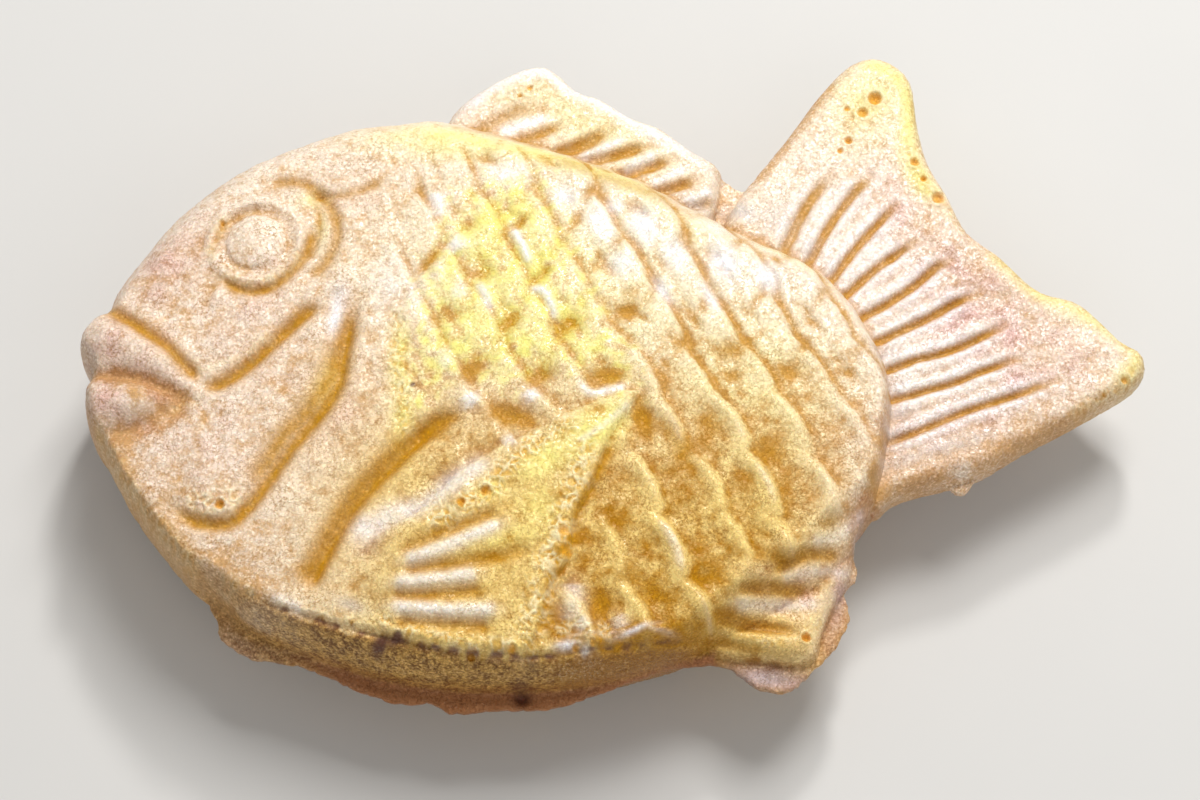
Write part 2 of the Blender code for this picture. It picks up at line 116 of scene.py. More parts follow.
BELLY_EDGE = (
    (10.8, -40.8), (6.5, -41.6), (-1.6, -44.6), (-8.5, -46.8), (-15.3, -47.1), (-22.3, -47.4), (-24.8, -46),
    (-28.9, -46.2), (-36, -43.8), (-42.7, -40.9), (-49.5, -39.8), (-53.7, -37.1), (-55, -33.4),
)
JAW = ((-58.2, -29.6), (-64.1, -22.8), (-68.2, -17), (-70.7, -12.2), (-72.4, -9.8))
LIPS_EDGE = ((-73.7, -5.4), (-73.7, -2.6), (-72.7, -1), (-74.3, 1.2), (-75, 4.1), (-73.7, 7.2))

# Foot of the body's wall where it leaves the outer outline
BODY_BACK = ((-20, 38.4), (-8, 34.8), (3, 30.6), (12, 25.6), (20, 21), (29.4, 16))
BODY_REAR = ((34.8, 9.6), (38.2, 2.4), (39.2, -3.6), (38.4, -10.4), (36.6, -17.6), (34, -24))
BODY_BELLY = (
    (29, -30), (22, -34.6), (13.6, -38.8), (4, -42), (-4.4, -43.9), (-14, -44.6), (-24, -44.1),
    (-33, -42.4), (-42, -39.4), (-49, -36.6), (-54.6, -31.6),
)

# Roots of the fins, hidden under the body
DORSAL_ROOT = ((12, 22), (-6, 30), (-24, 36))
TAIL_ROOT = ((32, -18), (32, 0), (26, 14), (16, 22))
ANAL_FIN = (
    (36, -19.6), (33.6, -24), (33, -28.2), (30.8, -32.4), (28.9, -36.4), (27.4, -40.6), (19.8, -40.3),
    (12.6, -38.9), (16, -32), (28, -22),
)

# Grooves of the fins: half width, depth as a share, and course from foot to tip
TAIL_GROOVES = (
    (0.95, 0.8, ((25, 20), (27.9, 25.9), (31.4, 30.9))),
    (0.75, 0.9, ((28.5, 18.1), (31.5, 23.5), (34.5, 27.7), (37.1, 30.6))),
    (0.65, 1, ((31.8, 15.3), (34.9, 19.6), (38.3, 23.5), (40.8, 26.2))),
    (0.65, 1, ((33.7, 12.7), (36.9, 15.8), (41, 18.9), (43.2, 20.4))),
    (0.65, 1, ((36, 9.2), (39.3, 11.2), (43, 13.8), (46.2, 16.6), (48.4, 17.6))),
    (0.65, 1, ((37.3, 5.1), (40.9, 6.9), (44.9, 8.9), (48.8, 11.2), (52.1, 12.3))),
    (0.6, 1, ((38, 0.6), (42.5, 2.4), (46.8, 3.6), (50.4, 5.1), (55.7, 7.7))),
    (0.6, 0.9, ((38.5, -3.8), (44, -2.1), (48, -0.9), (51.6, 0.6), (57.3, 2.7))),
    (0.65, 0.8, ((37, -10.3), (41.4, -8.7), (45.7, -6.8), (49.9, -5), (55.6, -3.1), (62.7, -0.6))),
    (1.2, 0.35, ((35.1, -15.3), (41.9, -13.1), (47.8, -11.2), (55.3, -9))),
)
TAIL_HAIRLINES = (
    ((30, 18.4), (32.8, 22), (34.9, 24.2)), ((34.7, 11.5), (38, 13.8), (40.9, 15.3)),
    ((37.6, 7), (41.6, 9.3), (45, 11.4)), ((38.6, -6.8), (42.3, -5.4), (47.2, -3.8), (51, -2.4)),
    ((39.6, -1.6), (44.2, 0), (47.4, 1.2)), ((33.6, 17), (36.4, 20), (38, 21.6)),
)
DORSAL_GROOVES = (
    (1.2, 0.5, ((-18.6, 38.4), (-14.5, 40.7), (-10.4, 42))),
    (0.9, 0.6, ((-12, 36.9), (-9.4, 37.9), (-7, 38.9))),
    (1, 1, ((-7, 34.6), (-3.9, 35.9), (-0.6, 38))),
    (0.85, 1, ((-2.9, 33.2), (1.2, 34.3), (5.2, 35.8))),
    (0.85, 1, ((1.8, 30.8), (5.1, 32.1), (8.8, 33.4))),
    (0.8, 1, ((6.1, 28.1), (9.4, 29.2), (12.4, 30.2))),
    (0.75, 0.9, ((11, 25.8), (14.1, 26.7), (15.6, 27.2))),
)
ANAL_GROOVES = (
    (0.8, 0.9, ((24, -28.6), (26.8, -27.2), (31.6, -26.3))),
    (0.8, 1, ((17.8, -32.2), (21.2, -31.8), (27.6, -31.1))),
    (0.9, 0.9, ((13.4, -35.6), (18.4, -36.2), (25.8, -37.1))),
    (0.9, 1, ((10.6, -37.7), (15.6, -38.9), (20, -40), (27.2, -41.6))),
)
FIN_GROOVE_DEPTH = 1.0
FIN_GROOVE_MARGIN = (0.0, 1.8)
FIN_GROOVE_END = 0.24
FIN_GROOVE_ROOT = 3.0
FIN_RIDGE_RISE = 0.5
FIN_RIDGE_WIDTH = 1.9
FIN_RIDGE_CUT = 1.6
FOLD_RISE = 0.7
FOLD_DEPTH = 1.5
ANAL_BLEND = (0.0, 2.0)
HAIRLINE_DEPTH = 0.25
HAIRLINE_WIDTH = 0.28
FILLET = 1.4
FIN_FILLET = 3.0
FILLET_LEAST = 0.02
FILLET_BACK = (12.0, 12.0)
FILLET_ANAL = (-3.0, 3.0)
SURFACE_RUN = 0.7

# Eye
EYE = (-49.7, 16.9)
PUPIL_RADIUS = 4.2
PUPIL_RISE = 1.3
EYE_RING_RADIUS = 6.3
EYE_RING_RISE = 0.6
EYE_RING_WIDTH = 0.9

# What is left of a pressed line at its very ends, and how much of it each end fades over
LINE_END_SHARE = 0.2
LINE_END_FADE = 0.12
# Lines pressed into the head: place, depth, half width, how golden they baked, course
HEAD_LINES = (
    (
        "over the upper lip", 1.2, 0.9, 0.9,
        ((-72.4, 9), (-67.6, 5.8), (-64.6, 3.7), (-61.4, 1.2), (-58.6, -1.6), (-56.2, -4)),
    ),
    ("mouth", 1.2, 1.1, 0.2, ((-74, -2), (-69.6, -2.4), (-65.4, -3.2), (-61.2, -4.9), (-57, -6.6))),
    (
        "under the lower lip", 1.3, 1.4, 0.15,
        ((-73, -10.9), (-69.2, -10.9), (-65.1, -10), (-61.2, -8.3), (-57.8, -6.5)),
    ),
    ("cheek", 1.4, 1, 1, ((-56.4, -4.4), (-54, -4.3), (-49.8, -1.5), (-44.5, 3.8), (-40.4, 7.8))),
    (
        "under the eye", 0.7, 0.7, 0.9,
        ((-54.8, 11.8), (-51.6, 9.7), (-48.5, 9.5), (-45.6, 11), (-42.6, 15), (-41.6, 19.6)),
    ),
    (
        "outer eye", 0.6, 0.75, 0.8,
        ((-42.8, 10.8), (-40, 13.2), (-38.4, 17.6), (-39.4, 22), (-43.6, 26.2), (-49.2, 26)),
    ),
    ("inside the outer eye", 0.4, 0.5, 0.6, ((-41.9, 23.4), (-41, 20), (-41.3, 16.4), (-42.4, 13.4))),
    ("eyelid", 0.5, 0.6, 0.35, ((-56.4, 14.2), (-54.5, 19.2), (-51.4, 21.6), (-48.6, 22))),
    ("brow", 0.5, 0.6, 0.6, ((-42.6, 24.6), (-39.4, 24), (-36.2, 24.6), (-32, 26.4))),
    ("crease by the eye", 0.5, 0.5, 0.4, ((-55, 10.8), (-56, 9), (-56.4, 7))),
    (
        "gill", 1.2, 1, 1,
        (
            (-35.4, 8.6), (-36.6, 0.9), (-37.9, -5.8), (-43.7, -13.8), (-48.6, -21.1), (-51.8, -24),
            (-56.4, -23.6), (-61.2, -20.4),
        ),
    ),
    (
        "gill cover", 1.3, 1.1, 1,
        ((-19.6, -8.8), (-23.6, -9.8), (-27.6, -14), (-34, -20.8), (-37.6, -26.6), (-41.4, -34.4)),
    ),
    (
        "slope before the gill", 0.6, 1.2, 0.9,
        ((-36.2, 7.6), (-37.5, 1.4), (-39.2, -4.9), (-45.2, -12.8), (-49.6, -19.9)),
    ),
    (
        "slope before the gill cover", 0.7, 1.3, 0.9,
        ((-24.8, -10), (-28.4, -13.3), (-34.8, -20.1), (-38.5, -26.1), (-42.2, -33.6)),
    ),
)
# The rolls of the lips: which lip, rise, half width, course
LIP_ROLLS = (
    ("upper", 2, 3.2, ((-73.4, 4.4), (-68, 2.4), (-62.6, -0.7), (-59.2, -3.2))),
    ("lower", 1.6, 2.7, ((-73, -5.6), (-67.6, -6.2), (-61.6, -6.4))),
)
LIP_END_FADE = 0.25
JOWL = (-53.4, -20.0)
JOWL_RISE = 0.8
JOWL_RADIUS = 4.0
LID_POCKET = (-41.3, 24.0, 1.3, 0.9, 20.0)
LID_POCKET_DEPTH = 0.9

# Pectoral fin: outline, grooves and how far it stands off the flank
PECTORAL = (
    (-34.6, -33), (-31.2, -26), (-25.6, -22.4), (-19.3, -16.2), (-10, -11.2), (-3.1, -7.6), (3.8, -5.6),
    (-0.3, -12.4), (-2.6, -18.9), (-5.3, -24.5), (-5.9, -29), (-8.4, -33), (-9.7, -38), (-12.4, -42.2),
    (-19, -41.9), (-28.4, -39.8), (-35, -36.8),
)
PECTORAL_RISE = 1.6
PECTORAL_EDGE_RUN = 1.2
PECTORAL_SOFTNESS = 2.6
PECTORAL_FOOT = (-36.0, 10.0)
# The line that parts its soft upper edge from its sharp rear one: a place on it, its climb
PECTORAL_MIDDLE = (-32.0, -33.0)
PECTORAL_CLIMB = 0.765
PECTORAL_MIDDLE_FADE = 8.0
PECTORAL_GROOVES = (
    ((-28.9, -28.6), (-23.1, -26.2), (-15, -22.8)),
    ((-28.6, -31.2), (-19.1, -30), (-10.6, -28)),
    ((-29.9, -34.4), (-24.3, -34.3), (-17, -33.8)),
    ((-29.4, -37.6), (-22.8, -38.3), (-15.8, -38.5)),
)
PECTORAL_GROOVE_DEPTH = 0.9
PECTORAL_GROOVE_WIDTH = 0.95
PECTORAL_RIBS = (
    ((-28.4, -30), (-23, -28.2), (-14.6, -24.8)),
    ((-29.6, -32.7), (-24.3, -32.4), (-17.6, -31.6)),
    ((-30.2, -35.8), (-24.2, -36.4), (-15, -36.6)),
)
PECTORAL_RIB_RISE = 0.5
PECTORAL_RIB_WIDTH = 1.0

# Scales: where one scale's dimple lies, the steps to the next place in its row and
# to the next row, how far before the dimple the scale's free edge lies, how far
# the scale reaches forward and to each side, and its rise
SCALE_START = (-13.4, 5.6)
SCALE_STEP = (8.3, 0.1)
ROW_STEP = (4.05, -7.5)
ROW_GROWTH = -0.2
SCALE_ROWS = (-4, 5)
SCALE_PLACES = (-5, 8)
SCALE_SETBACK = 3.2
SCALE_REACH = 5.6
SCALE_WIDTH_BELLY = 8.0
SCALE_WIDTH_BACK = 8.6
SCALE_SLANT_BELLY = 0.42
SCALE_SLANT_BACK = 0.52
BACK_HALF = (-14.0, 20.0)
SCALE_RISE = 1.9
SCALE_SINK = 0.9
SCALE_SINK_RIM = 0.5
SINK_RIM_FADE = (1.0, 7.0)
SINK_BELLY = (8.0, -16.0)
SCALE_PLATE = 0.5
SCALE_SWEEP = 1.5
SCALE_RIDGE_IN = 1.7
SCALE_RIDGE_WIDTH = 1.6
SCALE_RIDGE_LENGTH = 4.6
SCALE_RIDGE_FADE = (0.3, 0.4)
SCALE_LINE_WIDTH = 0.75
SCALE_LINE_FADE = (0.3, 0.3)
SCALE_COVER_EDGE = (0.0, 1.2)
SCALE_COVER_FADE = (0.5, 0.15)
LOZENGE_LEVEL = 0.46
LOZENGE_LINE = 0.34
LOZENGE_DOME = 0.16
LOZENGE_LEG = ((-5.8, 4.2), (-8.4, 0.2))
LOZENGE_LEG_WIDTH = 0.7
LOZENGE_LEG_FADE = 0.7
LOZENGE_ROWS_END = 2
SCALE_BLEND = 0.3
SCALE_SHIFT = 2.3
SCALE_WANDER = 0.45
SCALE_VIGOUR = 0.16
SCALE_VIGOUR_LIMIT = 2
SCALE_SEED = 11
SCALE_CALM = 0.55
SCALE_CALM_FADE = (-2.0, 5.0)
POCKET_DEPTH = 0.7
SCALE_FIELD = (
    (-28, 31), (-32, 16), (-31.5, -2), (-27, -9), (-16, -12), (-8, -20), (-14, -46), (4, -50), (22, -46),
    (38, -32), (46, -8), (42, 16), (20, 31), (-4, 35),
)
SCALE_FIELD_FADE = (0.0, 5.0)
SCALE_FIN_GAP = (0.0, -1.5)
SCALE_ANAL_GAP = (4.5, -3.0)
SCALE_BORDER = (0.2, 1.4)

# Pockets in the flank where the crust sank and browned: middle, half length,
# half width, slant in degrees, strength
POCKETS = (
    (-25.3, 13.7, 3, 0.8, 50, 1), (-12.8, 19.6, 2.2, 0.6, 52, 0.8), (-9.8, 11.5, 2, 0.7, 48, 0.8),
    (-18, 11.6, 1.5, 1.2, 30, 0.7), (-20.1, 19.2, 1.6, 1.1, 30, 0.5), (-14.2, 4.3, 1.7, 1.1, 45, 0.8),
    (-5.3, 19.8, 2.4, 0.6, 60, 0.6), (-1.8, 13.6, 1.9, 0.9, 45, 0.6), (-6.2, 4, 2, 1.4, 30, 0.9),
    (-19.2, -2.7, 2.2, 1.5, 50, 0.8), (-9.6, -3.5, 2.4, 1.4, 25, 0.8), (-0.9, -3.6, 2.6, 1.3, 12, 0.9),
    (1.7, 6.1, 2.4, 1.4, 35, 0.9), (-24, -11.5, 3, 1.5, 30, 0.9), (-13.8, -9.4, 3.4, 1.4, -12, 0.9),
    (-23, 5.2, 2, 1.2, 20, 0.5), (4.3, -9.6, 1.3, 3.2, 10, 1), (9, -13, 1.6, 3.6, 25, 0.8),
    (16.1, 0.4, 2.2, 1.6, 20, 0.8), (9.4, 2, 2.6, 1.6, 20, 0.5), (13.2, -10.6, 2, 2.8, 10, 0.6),
    (21.8, -14.4, 2.2, 2, 20, 0.6), (24.6, -2.4, 2.4, 1.6, 20, 0.6), (-1.8, -35.2, 1.5, 2.6, 0, 1),
    (3, 8.7, 1.8, 1.2, 40, 0.6), (12.6, -31.6, 2.6, 1.4, 20, 0.7), (5.4, -33.4, 1.4, 2.2, 0, 0.8),
    (22.6, -28.2, 2.4, 1, 0, 0.9), (29.6, -22.8, 1.8, 0.8, 30, 0.7),
)
# Thin glossy ridges blown up on the flank: half width, rise, course
BLISTERS = (
    (0.6, 0.45, ((-14, 18.6), (-12.6, 16.2), (-11.4, 13.2))),
    (0.6, 0.4, ((-18.6, 10.2), (-17.6, 8.4), (-16.8, 6.1))),
    (0.55, 0.45, ((-11.4, 9.3), (-9.9, 9.2), (-8.6, 7.2), (-7.7, 4.8))),
    (1.5, 0.35, ((-22.4, 16.8), (-21, 15.4))),
    (1.3, 0.4, ((-19.9, -6.4), (-18.9, -8))), (1.1, 0.35, ((-11.7, -5.8), (-10.6, -7.4))),
    (0.55, 0.4, ((-4.6, -4.4), (-3.2, -6), (-0.6, -5.6), (2, -5))),
    (1, 0.3, ((-14.8, -13.6), (-13.2, -12.8))),
    (1.2, 0.3, ((-24.9, 24.4), (-24.2, 20.4))), (1.3, 0.2, ((-21.8, 9.8), (-20.8, 7.8))),
    (1.2, 0.2, ((-23.6, 0.4), (-22.4, -2.6))), (1.2, 0.2, ((-27.8, 10.6), (-27.2, 6.4))),
    (1.6, 0.22, ((-5.3, -32.2), (-5.3, -37.6))), (1.2, 0.2, ((0.6, -36.6), (1.2, -38.4))),
)
BLISTER_SHOW = 1.8

# Froth where the batter bubbled and burst: place, half width, strength, course
FROTH = (
    ("upper edge of the side fin", 1.6, 1,
     ((-23.4, -24.3), (-20.4, -22.4), (-17.4, -20.6), (-15, -17.8), (-13, -15.4), (-9.4, -12.6),
      (-6.4, -11))),
    ("rear edge of the side fin", 1.7, 1,
     ((-3.8, -15), (-5, -19.4), (-6.6, -23.4), (-7.6, -27), (-9, -31.4), (-10.2, -36), (-11.6, -40.4))),
    ("lower edge of the side fin", 0.9, 0.9,
     ((-30.5, -37.6), (-27, -39), (-22, -40.2), (-16.5, -40.9), (-11.5, -40.6))),
    ("front of the custard", 1.3, 0.7, ((-30, 5.2), (-29.6, -1.2), (-28.7, -6.6), (-28.2, -10.6))),
    ("ring of the eye", 0.9, 0.5,
     ((-54.4, 20.4), (-56, 16.6), (-54.2, 12.8), (-50, 10.6), (-46.2, 11.8), (-44, 14.6))),
    ("jowl", 1.9, 0.7, ((-56.4, -21), (-53.6, -21.6), (-51.2, -20.6))),
    ("corner of the mouth", 0.7, 0.4, ((-60, -7.6), (-56.8, -6.6))),
    ("cheek fold", 1.5, 0.35, ((-56.6, -1.8), (-52, -0.6), (-48, 2.4))),
    ("tail tip", 1, 0.6, ((65, -4.8), (70.4, -1.8), (74, 1.6))),
    ("edge of the tail", 1, 0.6, ((42.8, 34.8), (44.6, 31), (47.4, 27), (50.4, 22.6))),
    ("top of the tail", 1.6, 0.35, ((39, 45), (36.4, 41), (33.6, 35.4))),
    ("back fin", 1.2, 0.6, ((-17, 43.4), (-13, 43.9), (-9.4, 45.8))),
    ("belly behind the side fin", 1.4, 0.7, ((-6.8, -38.2), (-3.6, -38.8), (-0.8, -38.6))),
    ("belly fin", 0.8, 0.5, ((20, -38.6), (25.4, -37.6), (28.4, -35.4))),
    ("jaw edge", 1.2, 0.5, ((-70.6, -10.6), (-67, -16.8), (-62.4, -22.8), (-57, -29))),
    ("belly edge", 0.8, 0.35, ((-52, -31.6), (-46, -34.4), (-38, -36.6), (-31, -38.8))),
)
# Its cells in space: their size, the depth of each and the rise of the lips between them
FROTH_CELL = 1.15
FROTH_DEPTH = 0.32
FROTH_LIP = 0.2
FROTH_BEGINS = 0.05
FROTH_WALL = 0.42
FROTH_SLICE = 0.3
FROTH_WARP = 1.0
FROTH_WARP_PACE = 0.7
FROTH_WARP_SHIFTS = ((9.3, -1.5, -7.9), (0, 0, 0), (6.3, 11.5, -3.7))
# Single pores: x, y, radius, depth
PORES = (
    (38.3, 43.1, 1.05, 0.9), (36.5, 40.9, 0.85, 0.6), (34.2, 41.5, 0.5, 0.5), (34.3, 36.4, 0.65, 0.7),
    (33, 34.8, 0.5, 0.5), (43.7, 33, 0.75, 0.8), (44.9, 30.4, 0.6, 0.6), (46.9, 27.4, 1, 1),
    (71.9, -0.4, 0.45, 0.6), (69, -2.5, 0.35, 0.5), (-13.4, 43.6, 0.4, 0.5), (-11.9, 44.9, 0.45, 0.5),
    (-53, -21.6, 0.75, 0.8), (-54.6, 20, 0.42, 0.6), (26.3, -37.8, 0.7, 1), (-20.3, -22, 0.7, 0.5),
    (-6.6, -25.8, 0.85, 0.6), (-6.2, -28.4, 0.8, 0.5), (-17, -20.4, 0.8, 0.5), (-18.9, -42, 0.6, 0.7),
    (-13.4, -41.5, 0.65, 0.7), (-5, -40.9, 0.5, 0.5), (-2.6, -40.4, 0.45, 0.4),
)
# A pore's raised lip, as shares of its radius and depth
PORE_REACH = 2.2
PORE_LIP = 1.2
PORE_LIP_WIDTH = 0.28
PORE_LIP_RISE = 0.3
PORE_FADE = (0.0, 0.6)
SEAM_HOLE = (-12.4, -45.3)
SEAM_HOLE_RADIUS = 1.3
SEAM_HOLE_DEPTH = 1.2
# Scorched specks: x, y, radius
DARK_SPECKS = ((-27.3, -4.9, 0.55), (-20.3, 1.3, 0.3), (-31, -40.4, 1.9), (-29, -39.9, 1.4))
SPECK_FLATNESS = 0.6
SPECK_SLANT = 35.0
DARK_EDGE = (0.3, 0.5)
# HOLE_DARK: painted shade in the seam's hole
HOLE_DARK = 0.9
# The thread of batter that melted over the top of the belly's wall
MELT_LINE = ((-8, -40.3), (-5, -39.4), (-1.7, -39.1), (1.6, -38.8), (5, -38.4), (9, -38.8))
MELT_RISE = 0.18
MELT_WIDTH = 0.4

# The belly's wall: the crease at its top, and the ground below it that browned as a whole
WALL_CREASE = (
    (-52, -31.8), (-46, -34.9), (-41.9, -36.2), (-35.8, -38.2), (-28.4, -39.9), (-24.4, -40.8),
    (-17.7, -41.8), (-9.7, -41.9), (-4, -41.2), (6.5, -39.6), (12, -38.6), (16, -38.4),
)
CREASE_DEPTH = 0.8
CREASE_WIDTH = 0.5
# CREASE_DARK: painted shadow along the crease, under the lip that hangs over it
CREASE_DARK = 0.58
CREASE_DARK_WIDTH = 0.8
CREASE_BREAKS = 0.25
CREASE_LIMITS = (0.4, 1.2)
WALL_GROUND = (
    ((-64, -21), (-58.6, -26.2), (-52, -31.4)) + WALL_CREASE[1:8]
    + ((-4, -41.5), (6.5, -40.2), (14, -39.2), (18, -50))
    + ((-30, -56), (-62, -46), (-72, -24))
)
# Where the browned ground fades out, and the redder seam at its foot
WALL_FADE = 1.1
WALL_RAGGED = 0.4
WALL_BEHIND = (-66.0, 28.0)
WALL_BEFORE = (20.0, -5.0)
SEAM_FOOT = (0.4, -0.8)
SEAM_BEHIND = (-50.0, 14.0)
# SEAM_CREASE: the redder seam colour laid along the crease as well, as painted shadow under its lip
SEAM_CREASE = 0.8
ANAL_SEAM = 0.4
ANAL_WALL = 0.45
# Where the wall turns to a smooth glossy amber: a start along the cake, and the length it takes
AMBER_BEGINS = (-11.0, 7.0)

# Slow unevenness of the crust: wavelength and height
SWELLS = ((6, 0.07), (2, 0.035))
SWELL_SEED = 3
SWELL_FADE = (0.0, 1.5)
# Fine pebbling of the skin, along the surface's normal: wavelength and height
PEBBLES = ((1.5, 0.04), (0.75, 0.035))
# Broader flow of the batter down the steep walls: wavelength and height
WALL_FLOW = (2.6, 0.16)
PEBBLE_FADE = (0.0, 0.8)
# Broad and small patches of colour: wavelength and seed
BLOTCH_SIZE = 6.0
BLOTCH_SEED = 23
MOTTLE_SIZE = 2.2
MOTTLE_SEED = 24
# Darker hollows and paler ridges from this relief: partly the crust's browning, partly painted shade and
# painted highlight
# Relief that the colour answers to: what is finer than a size, and its lowest and highest
FINE_RELIEF = (0.7, -0.5, 0.35)
BROAD_RELIEF = (2.2, -1.2, 0.5)
# The browner band along the seam, and the painted shade along the body's rear rim where it rolls down to the
# tail
RIM_BAND = (0.5, 1.6)
RIM_SHADE = 0.22
REAR_RIM_SHADE = 0.3
REAR_RIM_BEHIND = (18.0, 12.0)
REAR_RIM_IN = (1.2, 1.6)
REAR_RIM_OUT = (-1.5, 1.5)
# The plan's unevenness fades out down the steep walls, where it would run in bars
WALL_CALM = (0.8, 2.4)
# The crumbled edge of the flash. Its noise: height, pace, level
RAGGED_EDGE = 0.32
RAGGED_LENGTH = 1.1
RAGGED_NOISE = ((1, 1, 0.5), (0.5, 2.3, 4.5))
RAGGED_BELOW = (4.0, -20.0)
RAGGED_BEHIND = (-30.0, 20.0)
RAGGED_LEAST = 0.15
RAGGED_MOST = 1.2

# How light the crust is: its level, and what each thing adds or takes
TONE_LEVEL = 0.7
TONE_FINE = 0.6
TONE_BROAD = 0.18
TONE_PATCHES = 0.1
TONE_SCALE = 0.95
TONE_SCALE_LEVEL = 0.6
TONE_LINE = 0.3
TONE_CALM = 0.08
TONE_LIFT = 0.12
CALM_ABOVE = (-4.0, 12.0)
CALM_BEHIND = (-34.0, 8.0)

# How golden hollows get and how pale ridges get, partly browning and partly painted shade and painted
# highlight
POCKET_GOLD = 0.85
LOZENGE_GOLD = 0.6
LINE_GOLD_WIDTH = 1.45
LINE_BANK_WIDTH = 1.8
GROOVE_GOLD = 1.3
GROOVE_GOLD_MOST = 0.75
PECTORAL_GOLD_WIDTH = 1.3
PECTORAL_SHOW = 0.65
# BANK_PALE: pale banks between the fins' grooves, partly a painted sheen
BANK_PALE = 0.8
BANK_PALE_TAIL = (1.0, 4.0)
BODY_EDGE = (1.5, -1.5)
# CREST and CREST_PALE: painted highlight on the crests of the belly's scales
CREST = (0.82, 0.3)
CREST_PALE = 0.34

# Custard, pink, belly, froth, wetness and roughness
CUSTARD_RAGGED = 1.2
CUSTARD_FADE = 8.0
CUSTARD_SHARE = 0.86
CUSTARD_BLOTCHES = 0.15
CUSTARD_MOTTLE = 0.1
PINK_SHARE = 0.85
PINK_BLOTCHES = 0.25
BELLY_BELOW = (10.0, -34.0)
BELLY_BEHIND = (-52.0, 28.0)
BELLY_BEFORE = (42.0, -22.0)
FROTH_LEVEL = 0.7
FROTH_PATCHES = 0.5
WET_MOTTLE = 0.1
WET_PALE = 0.5
WET_AMBER = 0.8
ROUGH_LEVEL = 0.5
ROUGH_BLOTCHES = 0.35
ROUGH_WALL = 0.6
CUSTARD_SMOOTH = 0.75
PALE_SMOOTH = 0.5
GOLD_SMOOTH = 0.6
CALM_SMOOTH = 0.5

# Colour fields: middle, half length, half width, slant in degrees, strength
# Pale spots: the white lozenges on the upper back and the glints by the melted thread are painted highlight,
# the rest paler crust
PALE_AND_HIGHLIGHT_SPOTS = (
    (-1.7, 19.6, 1.7, 3.2, 20, 0.8), (4.4, 19.5, 1.9, 3, 20, 1), (1.4, 13.4, 1.9, 2.4, 20, 0.7),
    (8.7, 15.2, 1.8, 3.2, 20, 0.8), (15.6, 14, 2, 2.9, 20, 1), (21.6, 12, 1.6, 2.2, 20, 1),
    (7, 9.4, 0.9, 2.4, 26, 0.8), (13.5, 8.6, 0.9, 2.6, 26, 0.7), (-6.6, 23.8, 1.5, 1.8, 20, 0.8),
    (0.4, 22.4, 1.4, 1.4, 20, 0.7), (-38.2, 5.4, 0.9, 2.8, -12, 0.9), (-15, 27.4, 2.6, 1.8, 0, 0.5),
    (-30.6, 10, 2.6, 5, 0, 0.3), (-33, -25, 2.2, 1.8, 30, 0.7), (14.6, 19.6, 1.6, 1.4, 0, 0.5),
    (-6, -40.6, 1.7, 0.6, 8, 0.9), (-3.6, -41.6, 0.7, 1, 0, 0.9), (2.8, -38.7, 2.4, 0.4, 20, 0.8),
)
CUSTARD_ZONE = (
    (-30, 7), (-28, 18), (-22, 28), (-10, 30), (-3, 22), (-1, 14), (4.5, 4), (6, -4), (2, -9.5), (-6, -6),
    (-14, -8), (-21, -7), (-28, -13.5), (-30.5, -4),
)
CUSTARD_SPOTS = (
    (-2.5, -11.5, 6.4, 3, 36, 1), (-8.6, -15.6, 5, 2.2, 34, 0.9), (-38.8, -4, 1.8, 4.4, -24, 0.6),
    (-14, -27, 6, 1.4, 14, 0.4), (-29, -1, 1.6, 6, 0, 0.9), (-28.4, -9.5, 1.6, 5, 0, 0.7),
    (-42, 23.6, 2.2, 1.6, 0, 0.6), (-40.6, 18.6, 1.2, 4, 0, 0.4), (-22, 33, 12, 3.6, -4, 0.7),
    (-9.8, -22.4, 2.6, 3.2, 0, 0.5), (-16.2, -20, 2, 1.4, 40, 0.6), (24, 16.6, 8, 1.2, -34, 0.4),
    (18, -1, 16, 12, -30, 0.35), (-4, 40, 14, 5, -28, 0.4), (37.6, 43, 7, 5.5, 60, 0.55),
    (8, 20, 14, 5, -30, 0.35), (-6, 12, 24, 15, -12, 0.42),
)
PINK_SPOTS = (
    (-62, 14, 8, 5, 50, 0.8), (-66, 3, 7, 3, -25, 0.6), (52, 10, 14, 10, -40, 1), (46, -8, 12, 5, 20, 0.8),
    (-50, 6, 9, 6, 40, 0.4), (42, 24, 6, 10, 20, 0.7), (60, 0, 12, 5, 25, 0.7), (-36, 24, 8, 5, 0, 0.4),
    (21, -42.6, 8, 1.8, -6, 1), (31, -32, 2, 7, -14, 1), (-36, -8, 5, 9, -25, 0.35),
    (25, -31.6, 7, 4, 5, 0.5), (-52, -38.6, 7, 1.6, -14, 0.9), (-46, -2, 8, 6, 0, 0.3),
    (-66, -6, 8, 6, -20, 0.8), (-56, -14, 8, 8, 0, 0.35), (-70, 2, 5, 4, 0, 0.7), (-33, -26, 3, 3, 0, 0.5),
    (35, -21, 3, 3.6, -30, 0.8), (-38, 4, 2, 6, -10, 0.5), (-27.6, 1.2, 1.2, 3, 0, 0.4),
)
SHADE_SPOTS = (
    (-60, -27, 9, 4, -50, 0.4), (-68, -14, 8, 3, -65, 0.4), (-22, -14, 7, 4, 30, 0.3),
    (-44, -30, 8, 4, -20, 0.2), (-62, 10, 10, 8, 50, 0.15), (-38, 34, 12, 4, 12, 0.1),
    (52, 4, 5, 4, 0, 0.2), (-58, -20, 6, 6, 0, 0.2), (-51, -30, 7, 3.6, -34, 0.4),
    (20, -42.4, 7, 1.8, -8, 0.5), (30.4, -36, 1.6, 5, -30, 0.35), (52, -7, 15, 4, 22, 0.25),
    (-66, 12, 8, 4, 60, 0.2), (-56, 27, 9, 3, 42, 0.15), (50, 16, 9, 5, -40, 0.24),
    (-62, -6.6, 8, 1.6, -5, 0.25), (-45, -6, 8, 6, 50, 0.12),
)
